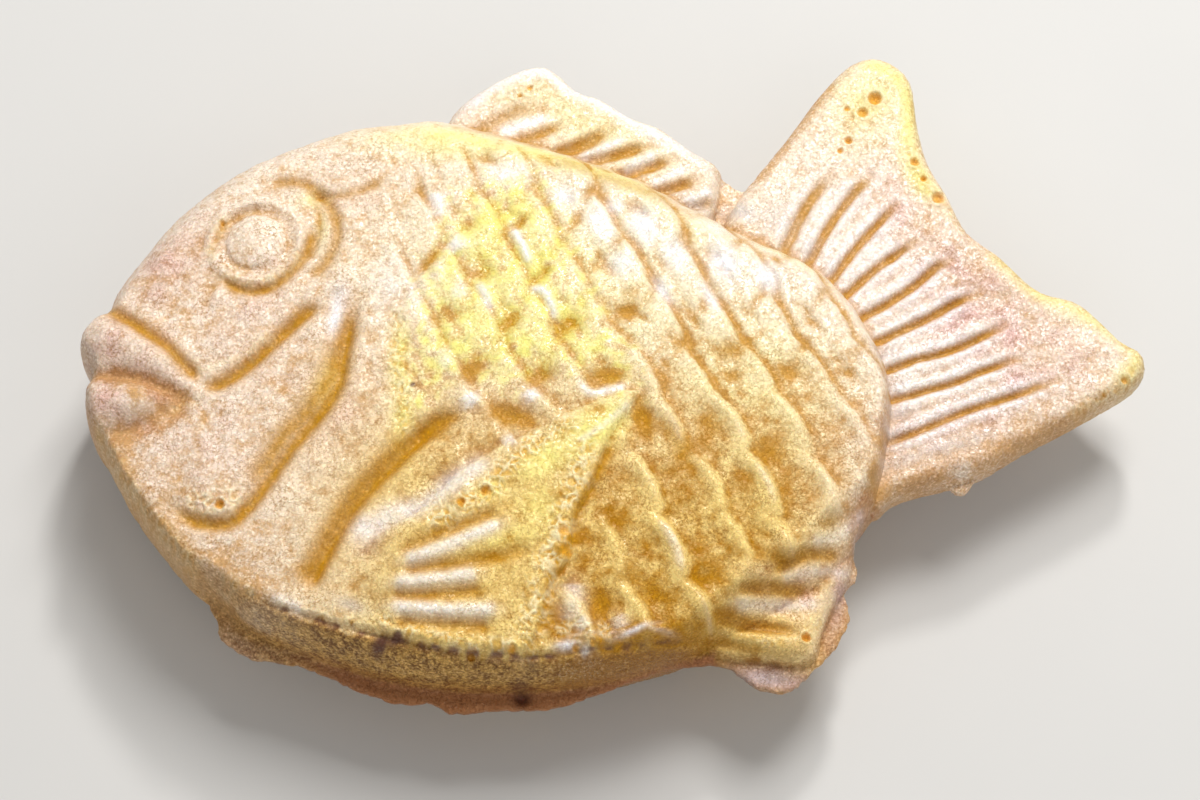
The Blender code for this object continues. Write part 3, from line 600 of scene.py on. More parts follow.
WET_SPOTS = (
    (0, 22, 14, 8, -25, 0.8), (20, 14, 14, 7, -30, 0.9), (-2, -39.6, 9, 2.4, 3, 1),
    (-5, -10, 8, 4, 30, 0.6), (-22, -32, 9, 7, 5, 0.4), (44, -4, 9, 12, 0, 0.6), (-14, 6, 12, 16, 0, 0.5),
    (4, -30, 10, 10, 0, 0.5),
)
# Grey spots: mostly painted blue-grey shade where the body meets its fins, with a grey tint on the belly
# fin's flash plate
GREY_TINT_AND_SHADE_SPOTS = (
    (18.6, 25.4, 3.6, 1.6, -28, 0.8), (12.6, 26.2, 3.4, 1, -26, 0.6), (23, 24, 3, 3, 0, 0.5),
    (38.6, 3, 2.4, 1.2, 20, 0.7), (40, -1.4, 2.2, 1.2, 20, 0.7), (40.2, -5.6, 2.4, 1.2, 20, 0.7),
    (38.2, -9, 2, 1.4, 20, 0.5), (20.8, -42.6, 6, 1.6, -6, 0.8), (31.2, -32, 1, 5, -14, 0.3),
    (34, -24.6, 0.9, 1.2, 0, 1), (28, 19.6, 1.6, 1.2, 50, 0.6), (31, 16.8, 1.6, 1, 50, 0.6),
    (-35, -35.4, 2.4, 0.9, -20, 0.6), (-50.6, -40.6, 4, 1, -14, 0.6), (-37.8, 9, 1.6, 1.6, 0, 0.5),
)

# Trails of colour along edges and folds: field, half width, strength, course
TRAILS = (
    ("shade", 1.4, 0.35, ((20.9, 29.3), (25, 35.2), (29.5, 42), (33.3, 46.9))),
    ("shade", 1.6, 0.35, ((37, -17.1), (45.4, -13.6), (53.8, -10.6), (62.3, -7.3), (70.2, -3.6))),
    ("shade", 2.8, 0.45, ((-70, -12), (-66, -19), (-60, -26.4), (-54, -32), (-44, -36.2))),
    ("shade", 2.4, 0.4, ((-74, -6), (-72.4, -12), (-67.4, -20.4), (-61, -28), (-56, -34))),
    ("shade", 1.8, 0.35, ((40, -4), (38.5, -12), (36.6, -18))),
    # Painted shade, dark and golden, on the rounded rim over the belly's wall
    ("shade", 2.2, 0.6, ((15, -37), (10, -38.4), (4, -39), (-4, -40), (-8.6, -39))),
    ("gold", 1.8, 0.6, ((16, -36.6), (11, -38), (4, -39.4), (-3, -40.2), (-8, -39.4))),
    ("gold", 1.4, 0.4, ((38.4, -8), (37, -16), (35.4, -18.8))),
    ("gold", 1.4, 0.7, ((-4, -45.6), (4, -43.2), (12, -41.2))),
    ("shade", 1.5, 0.5, ((-69.6, -12.2), (-66.4, -12.2), (-62.4, -10.8), (-57.6, -8.4))),
    ("shade", 1.5, 0.6, ((-73.6, -2.6), (-68.6, -3.2), (-63.4, -4.6), (-58.4, -6.6))),
    ("custard", 1.9, 0.75,
     ((34.8, 47.7), (39.2, 48.3), (42, 46), (43.3, 41.2), (42.8, 35.6), (44.6, 30.1), (47.6, 26))),
    ("custard", 1.8, 0.6, ((53, 20.4), (61, 12.8), (69, 8.4), (74, 3), (70, -2.4))),
    ("custard", 2.6, 0.75, ((-30.2, 34.6), (-18.8, 33), (-7.4, 30.6), (1, 28), (9, 23.8))),
    ("gold", 1.3, 0.5, ((-9, 30.6), (-1.7, 27.6), (5.4, 25), (11, 22))),
    ("gold", 1, 0.4, ((-24, 36.6), (-16, 35.8), (-9, 33.8))),
    # Painted amber shadow beside the side fin's sharp rear edge
    ("gold", 0.8, 0.95,
     ((0.6, -12.4), (-2, -17.4), (-4.4, -22.2), (-5.4, -25.8), (-8, -31), (-8.9, -37.7))),
    ("gold", 1.1, 0.5, ((-28, -29.6), (-19.1, -30.6), (-11, -28.4))),
    ("gold", 1, 0.45, ((-29, -37.9), (-22.8, -38.9), (-15.2, -38.9))),
    ("pale", 1.2, 0.65,
     ((-23.4, 39.8), (-19.4, 43.4), (-15.5, 46.3), (-10.3, 47.8), (-6.8, 45.2), (-3.2, 43.4), (1.9, 40.5),
      (5.5, 38), (10.6, 35.2), (14.8, 31.6))),
    ("pale", 1.7, 0.6, ((-34.2, -26.5), (-30.5, -23.6), (-25.6, -22.2), (-21.2, -18.9), (-15.9, -15.8))),
    ("pale", 0.45, 0.4, ((-5, -13.6), (-1, -11), (2.6, -7.4))),
    ("pale", 0.8, 0.9, ((-16.2, 37.5), (-12.6, 38.9), (-9.4, 40))),
    ("pale", 0.6, 0.7, ((-4.8, 33.6), (-1.7, 34.8), (2.2, 36.8))),
    ("pale", 0.6, 0.7, ((1.4, 31.7), (4.1, 32.9), (6.4, 34))),
    ("pale", 0.6, 0.7, ((5.5, 29.3), (8.1, 30.5), (10.6, 31.7))),
    ("pale", 0.6, 0.7, ((10.4, 26.6), (12.6, 27.5), (14.4, 28.6))),
    ("pale", 0.7, 0.3, ((26.6, -25.8), (30.4, -24.6), (33, -22.4), (34.8, -20))),
    ("pale", 0.7, 0.3, ((22.6, -30.6), (27, -29.2), (32.4, -28.5))),
    ("pale", 0.8, 0.4, ((16, -34.2), (22, -33.7), (28.6, -33))),
    ("gold", 1.5, 0.6, ((-37.8, 5.4), (-38.9, 0.5), (-40.6, -5), (-46.2, -12.8), (-50.4, -19.2))),
    ("gold", 1, 0.3, ((13, -37), (20, -38.2), (27, -39.4))),
    # Painted highlight along the melted thread and on the glossy blob beside it
    ("pale", 0.35, 0.25, ((-7, -40),) + MELT_LINE[1:]),
    ("pale", 1, 0.6, ((-4.6, -37.2), (-3.4, -38.6))),
    ("pale", 0.7, 0.35, ((-46, -33.8), (-43.6, -34.8), (-41.4, -35.8))),
)

# Facets
RASTER_STEP = 0.25
OUTLINE_STEP = 1.0
PLATE_STEP = 1.5
ZONE_STEP = 2.0
LATTICE_STEP = 0.5
FIN_STEP = 0.38
FINE_STEP = 0.27
LOWER_STEP = 0.95
RIM_STEP = 0.5
CURVE_SUBSTEPS = 4
MEET_DISTANCE = 1e-6
FURROW_REACH = 2.6
WALL_ROWS = (0.012, 0.04, 0.08, 0.14, 0.22, 0.33, 0.48, 0.68, 0.95, 1.3)
FIN_ROWS = (0.015, 0.06, 0.15, 0.3, 0.55)
LOWER_WALL_ROWS = (0.03, 0.14, 0.4, 0.9)
LOWER_TAIL_ROWS = (0.1,)
# The band along the body's foot where the rows take the lattice's place: middle, half width
ROW_BAND = (0.6, 0.85)
ROW_TO_RIM = 0.008
LATTICE_TO_RIM = 0.2
FIN_ZONE_DEPTH = 1.5
FINE_ROUND_EYE = 8.0
FINE_ROUND_PORE = 0.7
FINE_ROUND_HOLE = 2.2
FINE_ROUND_MELT = 1.1
LEAST_DROP = 0.2
PLAN_FIT = 0.9985
FIELD_SETS = ("bake", "coat", "marks", "traces")

# Crust colours, as sRGB 0 to 255
RIDGE_BACK = (246, 228, 207)
RIDGE_BELLY = (240, 208, 128)
LOW_BACK = (209, 164, 110)
LOW_BELLY = (174, 118, 0)
GOLD = (190, 134, 0)
CUSTARD = (247, 236, 134)
CUSTARD_DEEP = (206, 156, 22)
PINK = (216, 169, 156)
PINK_LOW = (170, 116, 98)
# GREY: blue-grey of the painted shade at the fins' feet and of the flash plate's tint
GREY = (196, 192, 196)
WALL_PALE = (204, 158, 82)
WALL_BROWN = (120, 78, 28)
WALL_AMBER = (156, 104, 28)
SEAM_RED = (164, 108, 68)
# Scorched specks, and painted shadow in the belly's crease and the seam's hole
SCORCHED_AND_SHADOW = (100, 62, 50)
FROTH_GOLD = (216, 164, 56)
FROTH_LIP_COLOUR = (255, 242, 196)
# PALE: cool white, for paler crust and for painted highlight
PALE = (252, 252, 255)
PIT = (226, 162, 40)
FLOOR_COLOUR = (208, 206, 202)
FLOOR_CLOUD = 6
FLECK_GAIN = (1.28, 1.28, 1.28, 1.0)
HOLLOW_GAIN = (0.78, 0.68, 0.54, 1.0)
SCRIBBLE_GAIN = (0.66, 0.52, 0.36, 1.0)

# Noise of the materials: size in millimetres, detail, roughness
BLOTCH_NOISE = (3.4, 3.0, 0.55)
MOTTLE_NOISE = (1.3, 4.0, 0.6)
GRAIN_NOISE = (0.42, 2.5, 0.6)
THREAD_NOISE = (0.8, 3.5, 0.62)
CLOUD_NOISE = (60.0, 4.0, 0.55)

# Spans of the crust's material: a low and a high value, and what they turn into,
# which is 0 and 1 where nothing is given
SCRIBBLE_LINE = (0.035, 0.0)
ROUGH_PATCHES = (0.3, 0.7, 0.4, 1.0)
UNREST_MOTTLE = (0.25, 0.75, -0.14, 0.14)
UNREST_GRAIN = (0.3, 0.7, -0.15, 0.15)
UNREST_BELLY = (0.0, 1.0, 1.0, 0.6)
PINK_PATCHES = (0.35, 0.65, 0.45, 0.95)
CUSTARD_TONES = (0.0, 0.92)
CUSTARD_PATCHES = (0.3, 0.6, 0.7, 1.0)
GOLD_PATCHES = (0.3, 0.7, 0.85, 1.0)
PALE_PATCHES = (0.3, 0.6, 0.7, 1.0)
WALL_MOTTLE = (0.28, 0.72)
WALL_GRAIN = (0.4, 0.6, -0.3, 0.3)
AMBER_GRAIN = (0.3, 0.7, 1.0, 0.75)
FLECK_GRAIN = (0.54, 0.68)
FLECK_ON_CUSTARD = (0.4, 1.0, 1.0, 0.4)
HOLLOW_GRAIN = (0.47, 0.34)
GLOSS_GRAIN = (0.3, 0.7, 0.55, 0.34)
OIL_GRAIN = (0.5, 0.64)
OIL_TONES = (0.35, 0.8)
OIL_WET = (0.0, 0.8, 0.35, 1.0)

# How much of each layer the crust's material shows, at most
GREY_COVER = 0.7
WALL_COVER = 0.95
FROTH_COVER = 0.75
PIT_COVER = 0.85
DARK_COVER = 0.9
WET_SHINE = 0.18

# Bumps of the crust's material: depth in millimetres, strength
GRAIN_BUMP = (0.09, 0.9)
COAT_BUMP = (0.07, 1.0)
MOTTLE_BUMP = (0.14, 0.6)
THREAD_BUMP = (-0.08, 0.7)

# What is the same all over the crust
CRUST_FINISH = {
    "Specular IOR Level": 0.2,
    "Coat IOR": 1.6,
    "Coat Roughness": 0.14,
    "Subsurface Weight": 0.1,
    "Subsurface Radius": (1.0, 0.45, 0.16),
    "Subsurface Scale": 1.4 * MM,
}
FLOOR_ROUGHNESS = 0.75

# Camera, floor and light. Each light: name, place in metres, size, power
CAMERA_AIM = (-1.7, -2.1, 15.5)
CAMERA_DISTANCE = 400.0
CAMERA_ELEVATION = 70.0
CAMERA_LENS = 85.0
FLOOR_HALF = 2.0
LIGHTS = (
    ("key", (0.14, 0.32, 0.66), 0.25, 3.2),
    ("sparkle", (0.10, 0.48, 0.56), 0.08, 2.0),
    ("fill", (0.25, -0.60, 0.45), 0.9, 1.4),
)
SKY_STRENGTH = 0.36


def smooth_curve(points, step, closed):
    """Points a step apart on a smooth curve through the given points."""
    knots = [np.array(point, float) for point in points]
    if closed:
        before, after = knots[-1], [knots[0], knots[1]]
    else:
        before, after = 2 * knots[0] - knots[1], [2 * knots[-1] - knots[-2]]
    chain = [before] + knots + after
    course = []
    for index in range(1, len(chain) - 2):
        previous, start, end, following = chain[index - 1:index + 3]
        chord = np.linalg.norm(end - start)
        tangent_in = (end - previous) / (chord + np.linalg.norm(start - previous)) * chord
        tangent_out = (following - start) / (chord + np.linalg.norm(following - end)) * chord
        pieces = max(2, int(math.ceil(chord / step * CURVE_SUBSTEPS)))
        for piece in range(pieces):
            t = piece / pieces
            course.append(
                (2 * t**3 - 3 * t**2 + 1) * start + (t**3 - 2 * t**2 + t) * tangent_in
                + (3 * t**2 - 2 * t**3) * end + (t**3 - t**2) * tangent_out
            )
    course.append(knots[0] if closed else knots[-1])
    course = np.array(course)
    lengths = np.concatenate(([0.0], np.cumsum(np.linalg.norm(np.diff(course, axis=0), axis=1))))
    count = max(3, int(round(lengths[-1] / step)))
    stops = np.linspace(0.0, lengths[-1], count + 1)
    even = np.stack([np.interp(stops, lengths, course[:, axis]) for axis in (0, 1)], axis=1)
    return even[:-1] if closed else even


def nearest_on_segments(x, y, starts, ends):
    """Distance to the nearest of some segments, and the segment and share of it."""
    best = np.full(x.shape, np.inf)
    which = np.zeros(x.shape, int)
    share = np.zeros(x.shape)
    for index, (start, end) in enumerate(zip(starts, ends)):
        run = end - start
        t = ((x - start[0]) * run[0] + (y - start[1]) * run[1]) / max(run @ run, 1e-12)
        t = np.clip(t, 0.0, 1.0)
        gap = (x - start[0] - t * run[0])**2 + (y - start[1] - t * run[1])**2
        closer = gap < best
        best[closer] = gap[closer]
        which[closer] = index
        share[closer] = t[closer]
    return np.sqrt(best), which, share


def depth_inside(x, y, loop):
    """Distance to a closed loop, positive inside it and negative outside."""
    following = np.roll(loop, -1, axis=0)
    distance, _, _ = nearest_on_segments(x, y, loop, following)
    inside = np.zeros(x.shape, bool)
    for start, end in zip(loop, following):
        crosses = (start[1] > y) != (end[1] > y)
        with np.errstate(divide="ignore", invalid="ignore"):
            edge_x = start[0] + (y - start[1]) / (end[1] - start[1]) * (end[0] - start[0])
        inside ^= crosses & (x < edge_x)
    return np.where(inside, distance, -distance)


def along_line(x, y, line):
    """Distance to an open line, and how far along it the nearest point is."""
    distance, which, share = nearest_on_segments(x, y, line[:-1], line[1:])
    return distance, (which + share) / (len(line) - 1)


def ease(t):
    """Smooth step from 0 to 1."""
    t = np.clip(t, 0.0, 1.0)
    return t * t * (3 - 2 * t)


def ramp(value, fade):
    """Smooth step over a fade: where it starts, and its length, negative where it falls."""
    return ease((value - fade[0]) / fade[1])


def rounded_step(depth, run):
    """Rise from 0 to 1 with a steep foot and a rounded shoulder."""
    t = np.clip(depth / run, 0.0, 1.0)
    return (1 - (1 - t)**WALL_SQUARENESS)**(1 / WALL_SQUARENESS)


def furrow(x, y, points, half_width, end_fade=LINE_END_FADE):
    """Cross section of a pressed line, 1 on its middle and fading at its ends."""
    line = smooth_curve(points, half_width, closed=False)
    low = line.min(axis=0) - FURROW_REACH * half_width
    high = line.max(axis=0) + FURROW_REACH * half_width
    near = np.nonzero((x > low[0]) & (x < high[0]) & (y > low[1]) & (y < high[1]))
    distance, place = along_line(x[near], y[near], line)
    ends = ease(place / end_fade) * ease((1 - place) / end_fade)
    strength = np.zeros(x.shape)
    strength[near] = np.exp(-(distance / half_width)**2) * (LINE_END_SHARE + (1 - LINE_END_SHARE) * ends)
    return strength


def strongest_line(x, y, lines, half_width):
    """The strongest of some pressed lines at each place."""
    strength = np.zeros(x.shape)
    for points in lines:
        strength = np.maximum(strength, furrow(x, y, points, half_width))
    return strength


def soft_max(first, second, blend):
    """The higher of two heights, filleted where they meet."""
    share = np.clip(0.5 + (first - second) / (2 * blend), 0, 1)
    return second + (first - second) * share + blend * share * (1 - share)


def ellipse_spot(x, y, centre_x, centre_y, half_length, half_width, degrees):
    """A soft round or oval spot, 1 at its middle."""
    angle = math.radians(degrees)
    along = (x - centre_x) * math.cos(angle) + (y - centre_y) * math.sin(angle)
    across = (y - centre_y) * math.cos(angle) - (x - centre_x) * math.sin(angle)
    return np.exp(-(along / half_length)**2 - (across / half_width)**2)


def spot_field(x, y, table):
    """The strongest of some soft spots at each place."""
    total = np.zeros(x.shape)
    for *spot, strength in table:
        total = np.maximum(total, strength * ellipse_spot(x, y, *spot))
    return total


def inward_normals(loop):
    """Unit vectors that point into a clockwise loop from each of its places."""
    tangent = np.roll(loop, -1, axis=0) - np.roll(loop, 1, axis=0)
    tangent /= np.linalg.norm(tangent, axis=1)[:, None]
    return np.stack((tangent[:, 1], -tangent[:, 0]), axis=1)


def outer_outline(step):
    """The whole outline of the cake, flash and all."""
    over_the_back = BROW + DORSAL_EDGE + TAIL_EDGE + TAIL_FLAKE + TAIL_HEEL
    along_the_belly = ANAL_EDGE + BELLY_EDGE + JAW + LIPS_EDGE
    return smooth_curve(over_the_back + along_the_belly, step, closed=True)


BODY_POINTS = BROW + BODY_BACK + BODY_REAR + BODY_BELLY + JAW + LIPS_EDGE
TAIL_POINTS = TAIL_EDGE + TAIL_HEEL + TAIL_ROOT
DORSAL_POINTS = DORSAL_EDGE + DORSAL_ROOT
OUTER = outer_outline(OUTLINE_STEP)
BODY = smooth_curve(BODY_POINTS, PLATE_STEP, closed=True)
TAIL = smooth_curve(TAIL_POINTS, PLATE_STEP, closed=True)
DORSAL = smooth_curve(DORSAL_POINTS, PLATE_STEP, closed=True)
ANAL = smooth_curve(ANAL_FIN, PLATE_STEP, closed=True)
PECTORAL_LOOP = smooth_curve(PECTORAL, OUTLINE_STEP, closed=True)
SCALE_LOOP = smooth_curve(SCALE_FIELD, ZONE_STEP, closed=True)
WALL_LOOP = np.array(WALL_GROUND, float)[::-1]
CUSTARD_LOOP = smooth_curve(CUSTARD_ZONE, ZONE_STEP, closed=True)
PLAN_LOW = OUTER.min(axis=0)
PLAN_HIGH = OUTER.max(axis=0)
PLAN_MIDDLE = (PLAN_LOW + PLAN_HIGH) / 2


class Raster:
    """Values on an even grid over the cake's plan."""

    def __init__(self, step):
        self.step = step
        self.low = PLAN_LOW - 4 * step
        counts = np.ceil((PLAN_HIGH - PLAN_LOW) / step).astype(int) + 9
        self.shape = (counts[1], counts[0])
        xs = self.low[0] + np.arange(counts[0]) * step
        ys = self.low[1] + np.arange(counts[1]) * step
        self.x, self.y = np.meshgrid(xs, ys)

    def blur(self, values, sigma):
        """The values smoothed over sigma millimetres, held even at the borders."""
        pad = int(math.ceil(3 * sigma / self.step))
        padded = np.pad(values, pad, mode="edge")
        fy = np.fft.fftfreq(padded.shape[0], self.step)[:, None]
        fx = np.fft.rfftfreq(padded.shape[1], self.step)[None, :]
        window = np.exp(-2 * (math.pi * sigma)**2 * (fx**2 + fy**2))
        smooth = np.fft.irfft2(np.fft.rfft2(padded) * window, s=padded.shape)
        return smooth[pad:-pad, pad:-pad]

    def waves(self, wavelength, seed):
        """Even random unevenness of about one wavelength, of unit height."""
        rough = np.random.default_rng(seed).standard_normal(self.shape)
        fine = self.blur(rough, wavelength / 5)
        band = fine - self.blur(rough, wavelength / 2.5)
        return band / band.std()

    def at(self, values, x, y):
        """The values at any places, taken between the grid's points."""
        column = np.clip((x - self.low[0]) / self.step, 0, self.shape[1] - 1.001)
        row = np.clip((y - self.low[1]) / self.step, 0, self.shape[0] - 1.001)
        left = column.astype(int)
        below = row.astype(int)
        across = column - left
        up = row - below
        lower = values[below, left] * (1 - across) + values[below, left + 1] * across
        upper = values[below + 1, left] * (1 - across) + values[below + 1, left + 1] * across
        return lower * (1 - up) + upper * up


class Plan:
    """Places of the plan, with how deep each lies inside the cake's outlines."""

    def __init__(self, x, y):
        self.x = x
        self.y = y
        self.rim = depth_inside(x, y, OUTER)
        self.body = depth_inside(x, y, BODY)
        self.tail = depth_inside(x, y, TAIL)
        self.dorsal = depth_inside(x, y, DORSAL)
        self.anal = depth_inside(x, y, ANAL)
        self.pectoral = depth_inside(x, y, PECTORAL_LOOP)
        self.run = wall_run(x, y)


def wall_run(x, y):
    """How far in from the outline the body's wall reaches its full height."""
    back = ramp(y, BELLY_TO_BACK) * ramp(x, TAIL_END_TO_BACK)
    tail_end = ramp(x, BELLY_TO_TAIL_END) * ramp(y, TAIL_END_TOP)
    jaw = ramp(x, BELLY_TO_JAW) * ramp(y, JAW_TOP)
    run = BELLY_WALL_RUN + (BACK_WALL_RUN - BELLY_WALL_RUN) * back
    run = run + (TAIL_END_WALL_RUN - BELLY_WALL_RUN) * tail_end
    run = run + (JAW_WALL_RUN - run) * jaw
    return run + (ANAL_WALL_RUN - run) * ramp(depth_inside(x, y, ANAL), ANAL_RUN_FADE)


def fin_grooves(plan, grooves):
    """Grooves that fade toward their far ends, and the ridges left between them."""
    cut = np.zeros(plan.x.shape)
    banks = np.zeros(plan.x.shape)
    for half_width, share, points in grooves:
        foot, toward = np.array(points[0]), np.array(points[1])
        start = foot - FIN_GROOVE_ROOT * (toward - foot) / np.linalg.norm(toward - foot)
        course = (tuple(start),) + points
        groove = furrow(plan.x, plan.y, course, half_width, end_fade=FIN_GROOVE_END)
        cut = np.maximum(cut, share * groove)
        bank = furrow(plan.x, plan.y, course, FIN_RIDGE_WIDTH, end_fade=FIN_GROOVE_END)
        banks = np.maximum(banks, bank)
    return cut, np.clip(banks - FIN_RIDGE_CUT * cut, 0, 1)


def fin_plate(plan, depth, grooves):
    """A fin's plate with its wall, its grooves kept clear of its edge."""
    cut, banks = fin_grooves(plan, grooves)
    pressed = (FIN_GROOVE_DEPTH * cut - FIN_RIDGE_RISE * banks) * ramp(depth, FIN_GROOVE_MARGIN)
    return FIN_RISE * rounded_step(depth, FIN_WALL_RUN) - pressed


def scale_field(plan):
    """Where the flank carries scales, 0 to 1, calmer where the custard wells up."""
    field = ramp(depth_inside(plan.x, plan.y, SCALE_LOOP), SCALE_FIELD_FADE)
    field = field * ramp(plan.body, SCALE_BORDER)
    field = field * ramp(plan.pectoral, SCALE_FIN_GAP) * ramp(plan.anal, SCALE_ANAL_GAP)
    custard = ramp(depth_inside(plan.x, plan.y, CUSTARD_LOOP), SCALE_CALM_FADE)
    return field * (1 - (1 - SCALE_CALM) * custard)


def scales(x, y):
    """Overlapping scales: height 0 to 1, and the lines pressed along their free edges.

    In the belly half each scale ends in a rounded ridge with a broad valley behind
    it. On the back the scales are flat lozenges parted by thin lines.
    """
    rng = np.random.default_rng(SCALE_SEED)
    back = ramp(y, BACK_HALF)
    slant = SCALE_SLANT_BELLY + (SCALE_SLANT_BACK - SCALE_SLANT_BELLY) * back
    width = SCALE_WIDTH_BELLY + (SCALE_WIDTH_BACK - SCALE_WIDTH_BELLY) * back
    x = x - SCALE_SHIFT * (1 - back)
    ridges, edges, cover, legs = (np.zeros(x.shape) for _ in range(4))
    for row in range(SCALE_ROWS[0], SCALE_ROWS[1] + 1):
        for place in range(SCALE_PLACES[0], SCALE_PLACES[1] + 1):
            wander_x, wander_y, vigour = rng.standard_normal(3)
            from_x = x - SCALE_START[0] - place * SCALE_STEP[0] - row * ROW_STEP[0] - SCALE_WANDER * wander_x
            from_y = y - SCALE_START[1] - place * SCALE_STEP[1] - row * (ROW_STEP[1] + abs(row) * ROW_GROWTH)
            from_y = from_y - SCALE_WANDER * wander_y
            along = (from_x + slant * from_y + SCALE_SETBACK) / SCALE_REACH + 1
            inside = SCALE_REACH * (1 - np.hypot(along, from_y / width))
            forward = np.clip((along + 1) / 2, 0, 1)
            ridge = np.exp(-((inside - SCALE_RIDGE_IN) / SCALE_RIDGE_WIDTH)**2)
            ridge = ridge * ramp(forward, SCALE_RIDGE_FADE)
            ridge = ridge * np.exp(-(from_y / SCALE_RIDGE_LENGTH)**4)
            plate = SCALE_PLATE * forward**SCALE_SWEEP * ease(inside / SCALE_RIDGE_WIDTH)
            strength = 1 + SCALE_VIGOUR * np.clip(vigour, -SCALE_VIGOUR_LIMIT, SCALE_VIGOUR_LIMIT)
            ridges = soft_max(ridges, (plate + (1 - SCALE_PLATE) * ridge) * strength, SCALE_BLEND)
            if row < LOZENGE_ROWS_END:
                leg, on_leg = along_line(from_x, from_y, np.array(LOZENGE_LEG))
                line = np.exp(-(leg / LOZENGE_LEG_WIDTH)**2) * (1 - LOZENGE_LEG_FADE * on_leg)
                legs = np.maximum(legs, line)
            edge = np.exp(-(inside / SCALE_LINE_WIDTH)**2) * ramp(forward, SCALE_LINE_FADE)
            edges = np.maximum(edges, edge)
            cover = np.maximum(cover, ramp(inside, SCALE_COVER_EDGE) * ramp(forward, SCALE_COVER_FADE))
    lines = np.maximum(edges * (1 - cover), legs)
    lozenges = LOZENGE_LEVEL + LOZENGE_DOME * cover - LOZENGE_LINE * lines
    return ridges + (lozenges - ridges) * back, lines


def blister_field(x, y):
    """Rise of the thin ridges blown up on the flank, and where they lie."""
    rise = np.zeros(x.shape)
    where = np.zeros(x.shape)
    for half_width, height, course in BLISTERS:
        ridge = furrow(x, y, course, half_width)
        rise = np.maximum(rise, height * ridge)
        where = np.maximum(where, BLISTER_SHOW * height * ridge)
    return rise, where


def pectoral_fin(plan):
    """The side fin: a raised blade with ribs, soft at its upper edge and sharp behind."""
    foot = ramp(plan.x, PECTORAL_FOOT)
    above = (plan.y - PECTORAL_MIDDLE[1]) - PECTORAL_CLIMB * (plan.x - PECTORAL_MIDDLE[0])
    upper = ease(0.5 + above / PECTORAL_MIDDLE_FADE)
    edge_run = PECTORAL_EDGE_RUN + PECTORAL_SOFTNESS * upper
    blade = PECTORAL_RISE * foot * rounded_step(plan.pectoral, edge_run)
    grooves = strongest_line(plan.x, plan.y, PECTORAL_GROOVES, PECTORAL_GROOVE_WIDTH)
    ribs = strongest_line(plan.x, plan.y, PECTORAL_RIBS, PECTORAL_RIB_WIDTH)
    return blade - PECTORAL_GROOVE_DEPTH * grooves + PECTORAL_RIB_RISE * ribs


def head(x, y):
    """Eye, lips, jowl and the lines pressed into the head."""
    height = np.zeros(x.shape)
    radius = np.hypot(x - EYE[0], y - EYE[1])
    height += PUPIL_RISE * np.sqrt(np.clip(1 - (radius / PUPIL_RADIUS)**2, 0, 1))
    height += EYE_RING_RISE * np.exp(-((radius - EYE_RING_RADIUS) / EYE_RING_WIDTH)**2)
    height += JOWL_RISE * np.exp(-((x - JOWL[0])**2 + (y - JOWL[1])**2) / JOWL_RADIUS**2)
    height -= LID_POCKET_DEPTH * ellipse_spot(x, y, *LID_POCKET)
    for _, rise, half_width, points in LIP_ROLLS:
        height += rise * furrow(x, y, points, half_width, end_fade=LIP_END_FADE)
    for _, depth, half_width, _, points in HEAD_LINES:
        height -= depth * furrow(x, y, points, half_width)
    return height


def relief(plan):
    """Height of a face above the seam, as the mould presses it."""
    height = FLASH_LIP + (FLASH_HALF - FLASH_LIP) * rounded_step(plan.rim, FLASH_ROUND)
    height = np.maximum(height, fin_plate(plan, plan.tail, TAIL_GROOVES))
    height = np.maximum(height, fin_plate(plan, plan.dorsal, DORSAL_GROOVES))
    height = np.maximum(height, fin_plate(plan, plan.anal, ANAL_GROOVES))
    wall = BODY_WALL * rounded_step(plan.body, plan.run)
    swell = 1 - ((plan.x - CROWN_CENTRE[0]) / CROWN_RADII[0])**2
    swell = swell - ((plan.y - CROWN_CENTRE[1]) / CROWN_RADII[1])**2
    crown = BODY_CROWN * np.clip(swell, 0, 1)**CROWN_FULLNESS
    scale_height, _ = scales(plan.x, plan.y)
    sink = SCALE_SINK - SCALE_SINK_RIM * (1 - ramp(plan.body, SINK_RIM_FADE)) * ramp(plan.y, SINK_BELLY)
    scaled = SCALE_RISE * scale_height - sink
    cut, banks = fin_grooves(plan, ANAL_GROOVES)
    folds = (FOLD_RISE * banks - FOLD_DEPTH * cut) * ramp(plan.anal, ANAL_BLEND)
    surface = head(plan.x, plan.y) + pectoral_fin(plan) + scaled * scale_field(plan) + folds
    body = wall + crown * ease(plan.body / plan.run) + surface * ease(plan.body / (SURFACE_RUN * plan.run))
    on_fins = np.maximum(ramp(plan.y, FILLET_BACK), ramp(plan.anal, FILLET_ANAL))
    fillet = FILLET + (FIN_FILLET - FILLET) * on_fins
    return soft_max(height, body, FILLET_LEAST + fillet * ease((plan.body + fillet) / fillet))


def pore_relief(x, y):
    """Pits with a thin raised lip where single bubbles burst."""
    height = np.zeros(x.shape)
    pits = np.zeros(x.shape)
    for centre_x, centre_y, radius, depth in PORES:
        reach = PORE_REACH * radius
        near = np.nonzero((np.abs(x - centre_x) < reach) & (np.abs(y - centre_y) < reach))
        distance = np.hypot(x[near] - centre_x, y[near] - centre_y) / radius
        pit = np.clip(1 - distance**2, 0, 1)
        lip = np.exp(-((distance - PORE_LIP) / PORE_LIP_WIDTH)**2)
        height[near] += PORE_LIP_RISE * depth * lip - depth * pit
        pits[near] = np.maximum(pits[near], np.sqrt(pit))
    return height, pits


def froth_field(x, y):
    """Where the crust is frothy, 0 to 1."""
    field = np.zeros(x.shape)
    for _, half_width, strength, course in FROTH:
        distance, _ = along_line(x, y, smooth_curve(course, OUTLINE_STEP, closed=False))
        field = np.maximum(field, strength * np.exp(-(distance / half_width)**2))
    return field


